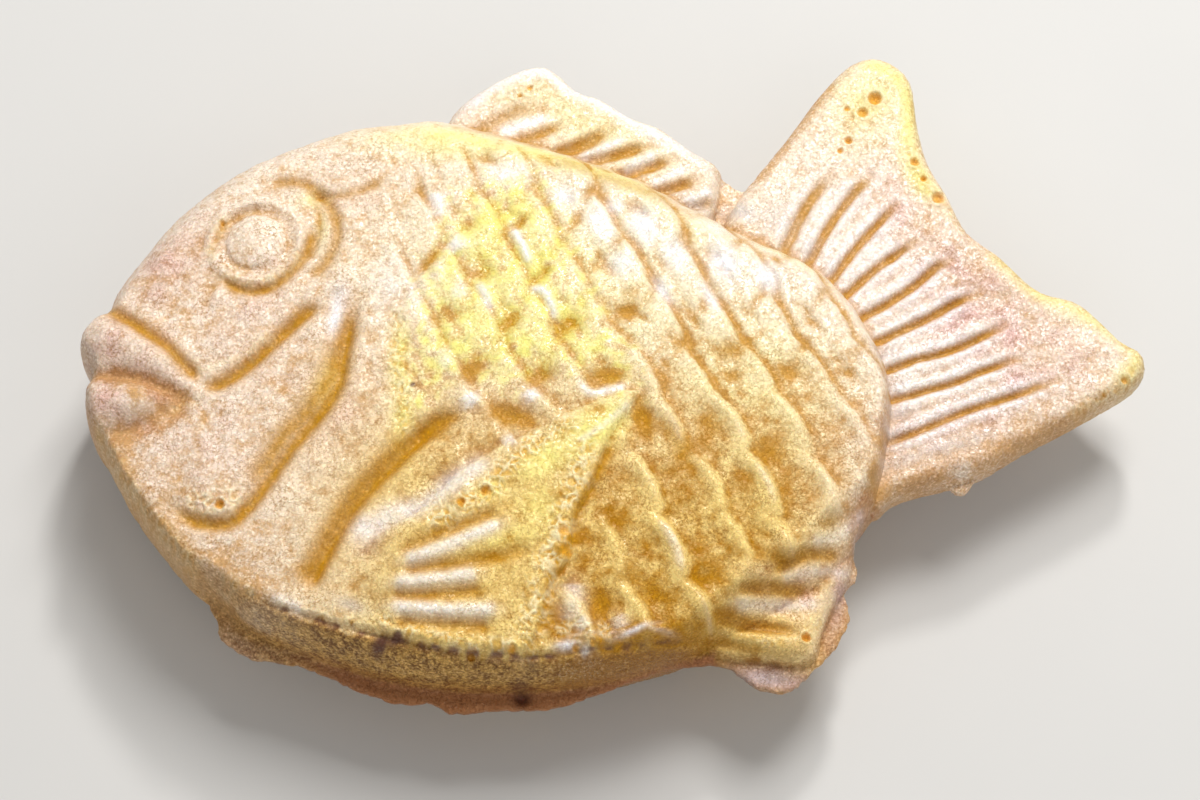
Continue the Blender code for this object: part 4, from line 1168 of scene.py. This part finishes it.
def froth_cells(x, y):
    """Burst cells packed together: 0 on their thin walls, 1 in the middle of each."""
    cells = np.zeros(x.shape)
    for index, (px, py) in enumerate(zip(x, y)):
        place = Vector((px, py, FROTH_SLICE)) / FROTH_CELL
        twist = [noise.noise(place * FROTH_WARP_PACE + Vector(shift)) for shift in FROTH_WARP_SHIFTS]
        place += FROTH_WARP * Vector(twist)
        distances, _ = noise.voronoi(place)
        cells[index] = distances[1] - distances[0]
    return ease(cells / FROTH_WALL)


def seam_hole(x, y):
    """The hole in the seam, 1 at its middle."""
    return ellipse_spot(x, y, *SEAM_HOLE, SEAM_HOLE_RADIUS, SEAM_HOLE_RADIUS, 0.0)


def trail_fields(x, y):
    """The colour trails, field by field."""
    trails = {name: np.zeros(x.shape) for name in ("shade", "custard", "gold", "pale")}
    for name, half_width, strength, course in TRAILS:
        trails[name] = np.maximum(trails[name], strength * furrow(x, y, course, half_width))
    return trails


class Crust:
    """The pressed relief with what baking did to it, and its colour fields."""

    def __init__(self):
        self.raster = Raster(RASTER_STEP)
        self.swells = sum(
            height * self.raster.waves(wavelength, SWELL_SEED + index)
            for index, (wavelength, height) in enumerate(SWELLS)
        )
        height = self.height(Plan(self.raster.x, self.raster.y))
        self.fine, self.broad = (
            np.clip(height - self.raster.blur(height, size), lowest, highest)
            for size, lowest, highest in (FINE_RELIEF, BROAD_RELIEF)
        )
        self.blotches = self.raster.waves(BLOTCH_SIZE, BLOTCH_SEED)
        self.mottle = self.raster.waves(MOTTLE_SIZE, MOTTLE_SEED)

    def height(self, plan):
        """Height above the seam with unevenness, bubbles, the melted thread and the seam's hole."""
        x, y = plan.x, plan.y
        height = relief(plan) + self.raster.at(self.swells, x, y) * ramp(plan.rim, SWELL_FADE)
        pits, _ = pore_relief(x, y)
        height += pits * ramp(plan.rim, PORE_FADE)
        height += MELT_RISE * furrow(x, y, MELT_LINE, MELT_WIDTH)
        height += blister_field(x, y)[0]
        height -= POCKET_DEPTH * spot_field(x, y, POCKETS)
        height -= HAIRLINE_DEPTH * strongest_line(x, y, TAIL_HAIRLINES, HAIRLINE_WIDTH)
        height -= CREASE_DEPTH * furrow(x, y, WALL_CREASE, CREASE_WIDTH)
        return height - SEAM_HOLE_DEPTH * seam_hole(x, y)**2

    def colour_fields(self, plan):
        """Sixteen fields, 0 to 1: what each place of the crust looks like."""
        x, y = plan.x, plan.y
        clear = ramp(plan.rim, RIM_BAND)
        level = ramp(plan.rim, WALL_CALM)
        blotches = self.raster.at(self.blotches, x, y) * level
        mottle = self.raster.at(self.mottle, x, y) * level
        fine = self.raster.at(self.fine, x, y) * level
        broad = self.raster.at(self.broad, x, y) * level
        trails = trail_fields(x, y)
        scale_height, lines = scales(x, y)
        scaled = scale_field(plan)
        back = ramp(y, BACK_HALF)
        calm = ramp(y, CALM_ABOVE) * ramp(x, CALM_BEHIND)
        pockets = spot_field(x, y, POCKETS)
        on_anal = ramp(plan.anal, ANAL_BLEND)

        # Tone, from hollow to ridge, partly browning and partly painted shade and painted highlight
        tone = TONE_LEVEL + TONE_FINE * fine + TONE_BROAD * broad
        tone = tone + TONE_PATCHES * mottle + TONE_PATCHES * blotches
        on_scales = TONE_SCALE * (1 - back) * (scale_height - TONE_SCALE_LEVEL) - TONE_LINE * back * lines
        tone += scaled * on_scales - TONE_LINE * pockets
        tone += TONE_CALM * calm + TONE_LIFT * on_anal
        # Painted shade along the body's rear rim, where it rolls down to the tail
        rear_rim = ramp(x, REAR_RIM_BEHIND) * (1 - ramp(plan.body, REAR_RIM_IN))
        rear_rim = rear_rim * ramp(plan.body, REAR_RIM_OUT)
        shade = spot_field(x, y, SHADE_SPOTS) + trails["shade"]
        tone -= shade + RIM_SHADE * (1 - clear) + REAR_RIM_SHADE * rear_rim

        # Golden hollows and pale ridges, partly painted shade and painted highlight
        gold = np.maximum(trails["gold"], POCKET_GOLD * pockets)
        gold = np.maximum(gold, LOZENGE_GOLD * back * lines * scaled)
        for _, _, half_width, golden, points in HEAD_LINES:
            gold = np.maximum(gold, golden * furrow(x, y, points, LINE_GOLD_WIDTH * half_width))
            tone += TONE_LIFT * golden * furrow(x, y, points, LINE_BANK_WIDTH * half_width)
        fin_lines = strongest_line(x, y, PECTORAL_GROOVES, PECTORAL_GOLD_WIDTH * PECTORAL_GROOVE_WIDTH)
        gold = np.maximum(gold, PECTORAL_SHOW * fin_lines)
        pale = np.maximum(trails["pale"], blister_field(x, y)[1])
        pale = np.maximum(pale, PECTORAL_SHOW * strongest_line(x, y, PECTORAL_RIBS, PECTORAL_RIB_WIDTH))
        outside = np.maximum(ramp(plan.body, BODY_EDGE), on_anal)
        fins = ((plan.tail, TAIL_GROOVES), (plan.dorsal, DORSAL_GROOVES), (plan.anal, ANAL_GROOVES))
        for depth, grooves in fins:
            cut, banks = fin_grooves(plan, grooves)
            reach = ramp(depth, FIN_GROOVE_MARGIN) * outside
            gold = np.maximum(gold, np.clip(GROOVE_GOLD * cut, 0, GROOVE_GOLD_MOST) * reach)
            # Pale banks between the grooves, partly painted sheen
            pale = np.maximum(pale, BANK_PALE * banks * reach * ramp(plan.tail, BANK_PALE_TAIL))
        # Pale spots, largely painted highlight
        pale = np.maximum(pale, spot_field(x, y, PALE_AND_HIGHLIGHT_SPOTS))
        # Painted highlight on the crests of the belly's scales
        pale = np.maximum(pale, CREST_PALE * (ramp(scale_height, CREST) * (1 - back) * scaled))

        # Custard showing through, and the belly's wall
        zone = ease((depth_inside(x, y, CUSTARD_LOOP) + CUSTARD_RAGGED * mottle) / CUSTARD_FADE)
        share = CUSTARD_SHARE + CUSTARD_BLOTCHES * blotches + CUSTARD_MOTTLE * mottle
        custard = zone * np.clip(share, 0, 1)
        custard = np.maximum(custard, spot_field(x, y, CUSTARD_SPOTS))
        custard = np.maximum(custard, trails["custard"])
        wall = ease(0.5 + (depth_inside(x, y, WALL_LOOP) + WALL_RAGGED * mottle) / WALL_FADE)
        wall = wall * ramp(x, WALL_BEHIND) * ramp(x, WALL_BEFORE)
        # The redder seam at the wall's foot, and along the crease as painted shadow
        crease = furrow(x, y, WALL_CREASE, CREASE_WIDTH)
        seam = wall * np.maximum(ramp(plan.body, SEAM_FOOT), SEAM_CREASE * crease)
        seam = seam * ramp(x, SEAM_BEHIND)
        anal_cut, _ = fin_grooves(plan, ANAL_GROOVES)
        anal_cut = anal_cut * on_anal
        seam = np.maximum(seam, ANAL_SEAM * anal_cut)
        wall = np.maximum(wall, ANAL_WALL * anal_cut)
        amber = ramp(x, AMBER_BEGINS) * wall * (1 - seam)

        wet = spot_field(x, y, WET_SPOTS) + WET_MOTTLE * mottle + WET_PALE * pale
        wet = wet + WET_AMBER * amber
        pink = spot_field(x, y, PINK_SPOTS) * (PINK_SHARE + PINK_BLOTCHES * blotches)
        belly = ramp(y, BELLY_BELOW) * ramp(x, BELLY_BEHIND) * ramp(x, BELLY_BEFORE)
        _, pits = pore_relief(x, y)
        froth = froth_field(x, y) * ease(FROTH_LEVEL + FROTH_PATCHES * mottle)
        cells = np.zeros(x.shape)
        foam = np.nonzero(froth > FROTH_BEGINS)[0]
        cells[foam] = froth_cells(x[foam], y[foam])
        # Painted blue-grey shade where the body meets its fins, and a grey tint on the flash plate
        grey_tint_and_shade = spot_field(x, y, GREY_TINT_AND_SHADE_SPOTS)
        rough = np.clip(ROUGH_LEVEL + ROUGH_BLOTCHES * blotches, 0, 1)
        rough = rough * (1 - CUSTARD_SMOOTH * custard) * (1 - PALE_SMOOTH * pale)
        rough = np.maximum(rough * (1 - GOLD_SMOOTH * gold) * (1 - CALM_SMOOTH * calm), ROUGH_WALL * wall)
        fields = (
            tone, custard, wall, pink, wet, self.dark(x, y, mottle), belly, gold,
            pale, pits, froth, seam, cells, grey_tint_and_shade, rough, amber,
        )
        return np.clip(np.stack(fields, axis=1), 0, 1)

    @staticmethod
    def dark(x, y, mottle):
        """Scorched specks, with painted shadow along the crease at the top of the belly's wall and painted
        shade in the seam's hole.
        """
        dark = np.zeros(x.shape)
        for centre_x, centre_y, radius in DARK_SPECKS:
            speck = ellipse_spot(x, y, centre_x, centre_y, radius, radius * SPECK_FLATNESS, SPECK_SLANT)
            dark = np.maximum(dark, speck)
        crease = furrow(x, y, WALL_CREASE, CREASE_DARK_WIDTH * CREASE_WIDTH)
        crease = crease * np.clip(1 + CREASE_BREAKS * mottle, *CREASE_LIMITS)
        dark = np.maximum(dark, CREASE_DARK * crease)
        return np.maximum(ramp(dark, DARK_EDGE), HOLE_DARK * seam_hole(x, y))


def ragged_rim():
    """The outer outline with its edge crumbled inward where flash stands out."""
    rim = outer_outline(RIM_STEP)
    low_side = ramp(rim[:, 1], RAGGED_BELOW) + ramp(rim[:, 0], RAGGED_BEHIND)
    bite = np.array([
        sum(
            height * noise.noise(Vector((px / RAGGED_LENGTH * pace, py / RAGGED_LENGTH * pace, level)))
            for height, pace, level in RAGGED_NOISE
        )
        for px, py in rim
    ])
    amount = RAGGED_EDGE * np.clip(low_side, RAGGED_LEAST, 1) * np.clip(0.5 + bite, 0, RAGGED_MOST)
    return rim + inward_normals(rim) * amount[:, None]


def row_points(loop_points, depths):
    """Rows of points that follow a wall's foot, each a little further in."""
    loop = smooth_curve(loop_points, RIM_STEP, closed=True)
    inward = inward_normals(loop)
    return np.concatenate([loop + inward * depth for depth in depths])


def lattice(step):
    """An even triangular lattice over the plan."""
    row_step = step * math.sqrt(3) / 2
    rows = int((PLAN_HIGH[1] - PLAN_LOW[1]) / row_step) + 1
    places = int((PLAN_HIGH[0] - PLAN_LOW[0]) / step) + 1
    points = [
        (PLAN_LOW[0] + step / 2 * (row % 2) + place * step, PLAN_LOW[1] + row * row_step)
        for row in range(rows) for place in range(places)
    ]
    return np.array(points)


def fine_zone(points):
    """Which points lie where the relief is finest."""
    x, y = points[:, 0], points[:, 1]
    near = np.hypot(x - EYE[0], y - EYE[1]) < FINE_ROUND_EYE
    near |= froth_field(x, y) > FROTH_BEGINS
    for pore_x, pore_y, radius, _ in PORES:
        near |= np.hypot(x - pore_x, y - pore_y) < radius + FINE_ROUND_PORE
    near |= np.hypot(x - SEAM_HOLE[0], y - SEAM_HOLE[1]) < FINE_ROUND_HOLE
    melt_line = smooth_curve(MELT_LINE, OUTLINE_STEP, closed=False)
    near |= along_line(x, y, melt_line)[0] < FINE_ROUND_MELT
    return near


def fin_zone(points):
    """Which points lie on the fins, clear of the body."""
    x, y = points[:, 0], points[:, 1]
    on_fin = np.max([depth_inside(x, y, loop) for loop in (TAIL, DORSAL, ANAL)], axis=0)
    return (on_fin > 0) & (depth_inside(x, y, BODY) < FIN_ZONE_DEPTH)


def sheet(rim, rows, inner):
    """Triangles over the plan through the rim, the walls' rows and the inner points."""
    rim_loop = [(index, (index + 1) % len(rim)) for index in range(len(rim))]
    from_band = np.abs(depth_inside(inner[:, 0], inner[:, 1], BODY) - ROW_BAND[0])
    inner = inner[from_band > ROW_BAND[1]]
    points = np.concatenate((rows, inner))
    depth = depth_inside(points[:, 0], points[:, 1], rim)
    gap = np.concatenate((np.full(len(rows), ROW_TO_RIM), np.full(len(inner), LATTICE_TO_RIM)))
    points = [Vector(point) for point in np.concatenate((rim, points[depth > gap]))]
    plan, _, faces, _, _, _ = delaunay_2d_cdt(points, rim_loop, [], 1, MEET_DISTANCE)
    return np.array([tuple(point) for point in plan]), [tuple(face) for face in faces]


def upper_sheet(rim):
    """Triangles of the shown face, finest round froth and pores."""
    coarse = lattice(LATTICE_STEP)
    middle = lattice(FIN_STEP)
    fine = lattice(FINE_STEP)
    inner = np.concatenate((
        coarse[~fine_zone(coarse) & ~fin_zone(coarse)],
        middle[fin_zone(middle) & ~fine_zone(middle)],
        fine[fine_zone(fine)],
    ))
    rows = np.concatenate((
        row_points(BODY_POINTS, WALL_ROWS),
        row_points(TAIL_POINTS, FIN_ROWS),
        row_points(DORSAL_POINTS, FIN_ROWS),
        row_points(ANAL_FIN, FIN_ROWS),
    ))
    return sheet(rim, rows, inner)


def lower_sheet(rim):
    """Triangles of the hidden face, coarser than those of the shown one."""
    rows = np.concatenate((
        row_points(BODY_POINTS, LOWER_WALL_ROWS)[::2],
        row_points(TAIL_POINTS, LOWER_TAIL_ROWS)[::2],
    ))
    return sheet(rim, rows, lattice(LOWER_STEP))


def pebble(points, normals):
    """How far each point of the skin stands out, from its place in space."""
    out = np.zeros(len(points))
    for index, point in enumerate(points):
        place = Vector(point)
        for wavelength, height in PEBBLES:
            out[index] += height * noise.noise(place / wavelength)
        steep = 1 - abs(normals[index][2])
        out[index] += WALL_FLOW[1] * steep * noise.noise(place / WALL_FLOW[0])
    return out


def store_fields(mesh, fields):
    """The colour fields as colour attributes of the mesh's points, four in each."""
    for index, name in enumerate(FIELD_SETS):
        attribute = mesh.color_attributes.new(name, "FLOAT_COLOR", "POINT")
        attribute.data.foreach_set("color", fields[:, 4 * index:4 * index + 4].astype(np.float32).ravel())


def skin_faces(rim_count, upper_count, upper_faces, lower_faces):
    """Faces of the closed skin: both sheets, and the strip that joins them at the rim."""
    faces = list(upper_faces)
    faces += [tuple(index + upper_count for index in reversed(face)) for face in lower_faces]
    for index in range(rim_count):
        following = (index + 1) % rim_count
        faces.append((index, following, index + upper_count))
        faces.append((following, following + upper_count, index + upper_count))
    return faces


def add_object(name, data):
    """A new object in the scene."""
    made = bpy.data.objects.new(name, data)
    bpy.context.scene.collection.objects.link(made)
    return made


def make_cake(crust):
    """The whole cake as one closed skin."""
    rim = ragged_rim()
    upper, upper_faces = upper_sheet(rim)
    lower, lower_faces = lower_sheet(rim)
    upper_plan = Plan(upper[:, 0], upper[:, 1])
    lower_plan = Plan(lower[:, 0], lower[:, 1])
    rise = crust.height(upper_plan)
    lower_swells = crust.raster.at(crust.swells, lower[:, 0], -lower[:, 1])
    drop = relief(lower_plan) + lower_swells * ramp(lower_plan.rim, SWELL_FADE)
    heights = np.concatenate((SEAM_HEIGHT + rise, SEAM_HEIGHT - np.maximum(drop, LEAST_DROP)))
    centred = (np.concatenate((upper, lower)) - PLAN_MIDDLE) * PLAN_FIT
    places = np.column_stack((centred, heights))
    mesh = bpy.data.meshes.new("baked_cake")
    faces = skin_faces(len(rim), len(upper), upper_faces, lower_faces)
    mesh.from_pydata([tuple(place) for place in places * MM], [], faces)
    mesh.validate()
    normals = np.zeros(len(places) * 3, np.float32)
    mesh.vertices.foreach_get("normal", normals)
    normals = normals.reshape(-1, 3)

    # Froth on the shown face, then the pebbled skin over all
    frothy = froth_field(upper[:, 0], upper[:, 1])
    foam = np.nonzero(frothy > FROTH_BEGINS)[0]
    cells = froth_cells(upper[foam, 0], upper[foam, 1])
    places[foam, 2] += frothy[foam] * (FROTH_LIP - (FROTH_LIP + FROTH_DEPTH) * cells)
    edge = ramp(np.concatenate((upper_plan.rim, lower_plan.rim)), PEBBLE_FADE)
    places += normals * (pebble(places, normals) * edge)[:, None]
    low, high = (np.array(corner) / MM for corner in CAD_BOUNDS)
    places = np.clip(places, np.maximum(low, (-np.inf, -np.inf, 0.0)), high)
    mesh.vertices.foreach_set("co", (places * MM).astype(np.float32).ravel())
    mesh.update()
    mesh.shade_smooth()
    store_fields(mesh, np.concatenate((crust.colour_fields(upper_plan), crust.colour_fields(lower_plan))))
    mesh.materials.append(crust_material())
    return add_object("baked_cake", mesh)


def linear(colour):
    """An sRGB colour, 0 to 255, as the linear colour that a shader takes."""
    shares = [channel / 255 for channel in colour]
    parts = [share / 12.92 if share < 0.04045 else ((share + 0.055) / 1.055)**2.4 for share in shares]
    return (*parts, 1.0)


class Nodes:
    """Short calls for the nodes that a material is built from."""

    def __init__(self, material):
        self.tree = material.node_tree
        self.place = self.tree.nodes.new("ShaderNodeTexCoord").outputs["Object"]

    def link(self, value, socket):
        """A socket fed by another node's output, or set to a plain value."""
        if isinstance(value, bpy.types.NodeSocket):
            self.tree.links.new(value, socket)
        else:
            socket.default_value = value

    def noise(self, size_mm, detail, roughness):
        """Noise in space, with features of about one size."""
        node = self.tree.nodes.new("ShaderNodeTexNoise")
        node.inputs["Scale"].default_value = 1 / (size_mm * MM)
        node.inputs["Detail"].default_value = detail
        node.inputs["Roughness"].default_value = roughness
        self.link(self.place, node.inputs["Vector"])
        return node.outputs["Fac"]

    def math(self, operation, first, second=0.0, clamp=False):
        """One sum of two values."""
        node = self.tree.nodes.new("ShaderNodeMath")
        node.operation = operation
        node.use_clamp = clamp
        self.link(first, node.inputs[0])
        self.link(second, node.inputs[1])
        return node.outputs[0]

    def times(self, first, second):
        """The product of two values."""
        return self.math("MULTIPLY", first, second)

    def span(self, value, low, high, to_low=0.0, to_high=1.0):
        """A smooth step from one value to another between a low and a high input."""
        node = self.tree.nodes.new("ShaderNodeMapRange")
        node.interpolation_type = "SMOOTHSTEP"
        for socket, setting in zip(node.inputs[:5], (value, low, high, to_low, to_high)):
            self.link(setting, socket)
        return node.outputs["Result"]

    def mix(self, factor, first, second, blend="MIX"):
        """Two colours mixed, or the second applied to the first."""
        node = self.tree.nodes.new("ShaderNodeMix")
        node.data_type = "RGBA"
        node.blend_type = blend
        colours = [socket for socket in node.inputs if socket.type == "RGBA"]
        self.link(factor, node.inputs[0])
        self.link(first, colours[0])
        self.link(second, colours[1])
        return [socket for socket in node.outputs if socket.type == "RGBA"][0]

    def fields(self, name):
        """The four colour fields stored together under one name."""
        node = self.tree.nodes.new("ShaderNodeAttribute")
        node.attribute_name = name
        parts = self.tree.nodes.new("ShaderNodeSeparateColor")
        self.link(node.outputs["Color"], parts.inputs[0])
        return parts.outputs[0], parts.outputs[1], parts.outputs[2], node.outputs["Alpha"]

    def bump(self, height, depth_mm, strength, under=None):
        """Fine relief that tilts the shading, over another bump where one is given."""
        node = self.tree.nodes.new("ShaderNodeBump")
        node.inputs["Strength"].default_value = strength
        node.inputs["Distance"].default_value = depth_mm * MM
        self.link(height, node.inputs["Height"])
        if under is not None:
            self.link(under, node.inputs["Normal"])
        return node.outputs["Normal"]


def new_material(name):
    """A node material, the calls that build on it, and its shader."""
    material = bpy.data.materials.new(name)
    material.use_nodes = True
    return material, Nodes(material), material.node_tree.nodes["Principled BSDF"]


def crust_material():
    """Baked crust: cream ridges and amber hollows, partly painted highlight and shade, custard showing
    through, a fine oily grain.
    """
    material, nodes, shader = new_material("browned_crust")
    ridge, custard, wall, pink = nodes.fields("bake")
    wet, dark, belly, gold = nodes.fields("coat")
    pale, pits, froth, seam = nodes.fields("marks")
    cells, grey_tint_and_shade, rough, amber = nodes.fields("traces")

    blotch = nodes.noise(*BLOTCH_NOISE)
    mottle = nodes.noise(*MOTTLE_NOISE)
    grain = nodes.noise(*GRAIN_NOISE)
    thread = nodes.noise(*THREAD_NOISE)
    scribble = nodes.math("ABSOLUTE", nodes.math("SUBTRACT", thread, 0.5))
    scribble = nodes.span(scribble, *SCRIBBLE_LINE)
    roughness = nodes.times(rough, nodes.span(blotch, *ROUGH_PATCHES))

    # Tone from ridge to hollow, broken up by the mottle and the grain
    unrest = nodes.span(mottle, *UNREST_MOTTLE)
    unrest = nodes.math("ADD", unrest, nodes.span(grain, *UNREST_GRAIN))
    unrest = nodes.times(unrest, nodes.span(belly, *UNREST_BELLY))
    tone = nodes.span(nodes.math("ADD", ridge, unrest), 0.0, 1.0)
    high_colour = nodes.mix(belly, linear(RIDGE_BACK), linear(RIDGE_BELLY))
    low_colour = nodes.mix(belly, linear(LOW_BACK), linear(LOW_BELLY))
    pink_share = nodes.times(pink, nodes.span(blotch, *PINK_PATCHES))
    high_colour = nodes.mix(pink_share, high_colour, linear(PINK))
    low_colour = nodes.mix(pink_share, low_colour, linear(PINK_LOW))
    colour = nodes.mix(tone, low_colour, high_colour)
    custard_colour = nodes.mix(nodes.span(tone, *CUSTARD_TONES), linear(CUSTARD_DEEP), linear(CUSTARD))

    # The belly's wall and the bubbles' burst cells
    wall_grain = nodes.math(
        "ADD", nodes.span(mottle, *WALL_MOTTLE), nodes.span(grain, *WALL_GRAIN), clamp=True
    )
    wall_colour = nodes.mix(wall_grain, linear(WALL_BROWN), linear(WALL_PALE))
    amber_share = nodes.times(amber, nodes.span(grain, *AMBER_GRAIN))
    wall_colour = nodes.mix(amber_share, wall_colour, linear(WALL_AMBER))
    wall_colour = nodes.mix(seam, wall_colour, linear(SEAM_RED))
    burst = nodes.mix(cells, linear(FROTH_LIP_COLOUR), linear(FROTH_GOLD))

    # Layers, each over the one before
    layers = (
        (nodes.times(custard, nodes.span(blotch, *CUSTARD_PATCHES)), custard_colour),
        (nodes.times(gold, nodes.span(mottle, *GOLD_PATCHES)), linear(GOLD)),
        # Grey: painted blue-grey shade at the fins' feet, and a grey tint on the flash plate
        (nodes.times(grey_tint_and_shade, GREY_COVER), linear(GREY)),
        # Pale crust, with painted highlight
        (nodes.times(pale, nodes.span(mottle, *PALE_PATCHES)), linear(PALE)),
        (nodes.times(wall, WALL_COVER), wall_colour),
        (nodes.times(froth, FROTH_COVER), burst),
        (nodes.times(pits, PIT_COVER), linear(PIT)),
    )
    for share, layer in layers:
        colour = nodes.mix(share, colour, layer)

    # Pale flecks on the grain's tops, brown hollows and fine dark threads between them
    fleck = nodes.times(nodes.span(grain, *FLECK_GRAIN), nodes.span(custard, *FLECK_ON_CUSTARD))
    colour = nodes.mix(fleck, colour, FLECK_GAIN, blend="MULTIPLY")
    hollow = nodes.times(nodes.span(grain, *HOLLOW_GRAIN), roughness)
    colour = nodes.mix(hollow, colour, HOLLOW_GAIN, blend="MULTIPLY")
    colour = nodes.mix(nodes.times(scribble, roughness), colour, SCRIBBLE_GAIN, blend="MULTIPLY")
    # Scorched specks, and painted shadow in the belly's crease and the seam's hole
    colour = nodes.mix(nodes.times(dark, DARK_COVER), colour, linear(SCORCHED_AND_SHADOW))
    nodes.link(colour, shader.inputs["Base Color"])

    # A broken film of oil
    gloss = nodes.span(grain, *GLOSS_GRAIN)
    gloss = nodes.math("SUBTRACT", gloss, nodes.times(wet, WET_SHINE), clamp=True)
    nodes.link(gloss, shader.inputs["Roughness"])
    oil = nodes.times(nodes.span(grain, *OIL_GRAIN), nodes.span(tone, *OIL_TONES))
    oil = nodes.times(oil, nodes.math("SUBTRACT", 1.0, gold))
    nodes.link(nodes.times(oil, nodes.span(wet, *OIL_WET)), shader.inputs["Coat Weight"])
    for name, value in CRUST_FINISH.items():
        shader.inputs[name].default_value = value

    fine = nodes.bump(grain, *GRAIN_BUMP)
    nodes.link(nodes.bump(grain, *COAT_BUMP), shader.inputs["Coat Normal"])
    coarse = nodes.bump(mottle, *MOTTLE_BUMP, under=fine)
    threads = nodes.bump(scribble, *THREAD_BUMP, under=coarse)
    nodes.link(threads, shader.inputs["Normal"])
    return material


def floor_material():
    """A plain pale floor, a little cloudy."""
    material, nodes, shader = new_material("pale_floor")
    paler = linear(tuple(channel + FLOOR_CLOUD for channel in FLOOR_COLOUR))
    cloud = nodes.mix(nodes.noise(*CLOUD_NOISE), linear(FLOOR_COLOUR), paler)
    nodes.link(cloud, shader.inputs["Base Color"])
    shader.inputs["Roughness"].default_value = FLOOR_ROUGHNESS
    return material


def make_floor():
    """The floor that the cake lies on."""
    mesh = bpy.data.meshes.new("floor")
    corners = [(FLOOR_HALF * x, FLOOR_HALF * y, 0.0) for x, y in ((-1, -1), (1, -1), (1, 1), (-1, 1))]
    mesh.from_pydata(corners, [], [(0, 1, 2, 3)])
    mesh.materials.append(floor_material())
    add_object("floor", mesh)


def make_lights():
    """Square soft lights aimed at the cake, and an even pale sky."""
    for name, place, size, power in LIGHTS:
        lamp = bpy.data.lights.new(name, "AREA")
        lamp.size = size
        lamp.energy = power
        light = add_object(name, lamp)
        light.location = place
        aim = Vector((0.0, 0.0, SEAM_HEIGHT * MM)) - light.location
        light.rotation_euler = aim.to_track_quat("-Z", "Y").to_euler()
    world = bpy.data.worlds.new("studio")
    world.use_nodes = True
    sky = world.node_tree.nodes["Background"]
    sky.inputs["Color"].default_value = (1.0, 1.0, 1.0, 1.0)
    sky.inputs["Strength"].default_value = SKY_STRENGTH
    bpy.context.scene.world = world


def make_camera():
    """The camera at the photograph's viewing angle."""
    lens = bpy.data.cameras.new("camera")
    lens.lens = CAMERA_LENS
    lens.clip_start = 10 * MM
    camera = add_object("camera", lens)
    elevation = math.radians(CAMERA_ELEVATION)
    forward = Vector((0.0, math.cos(elevation), -math.sin(elevation)))
    aim = Vector((CAMERA_AIM[0] - PLAN_MIDDLE[0], CAMERA_AIM[1] - PLAN_MIDDLE[1], CAMERA_AIM[2]))
    camera.location = (aim - forward * CAMERA_DISTANCE) * MM
    camera.rotation_euler = forward.to_track_quat("-Z", "Y").to_euler()
    bpy.context.scene.camera = camera


cake = make_cake(Crust())
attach(cake, "root")
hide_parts("taiyaki")
make_floor()
make_lights()
make_camera()
bpy.context.scene.view_settings.view_transform = "Standard"
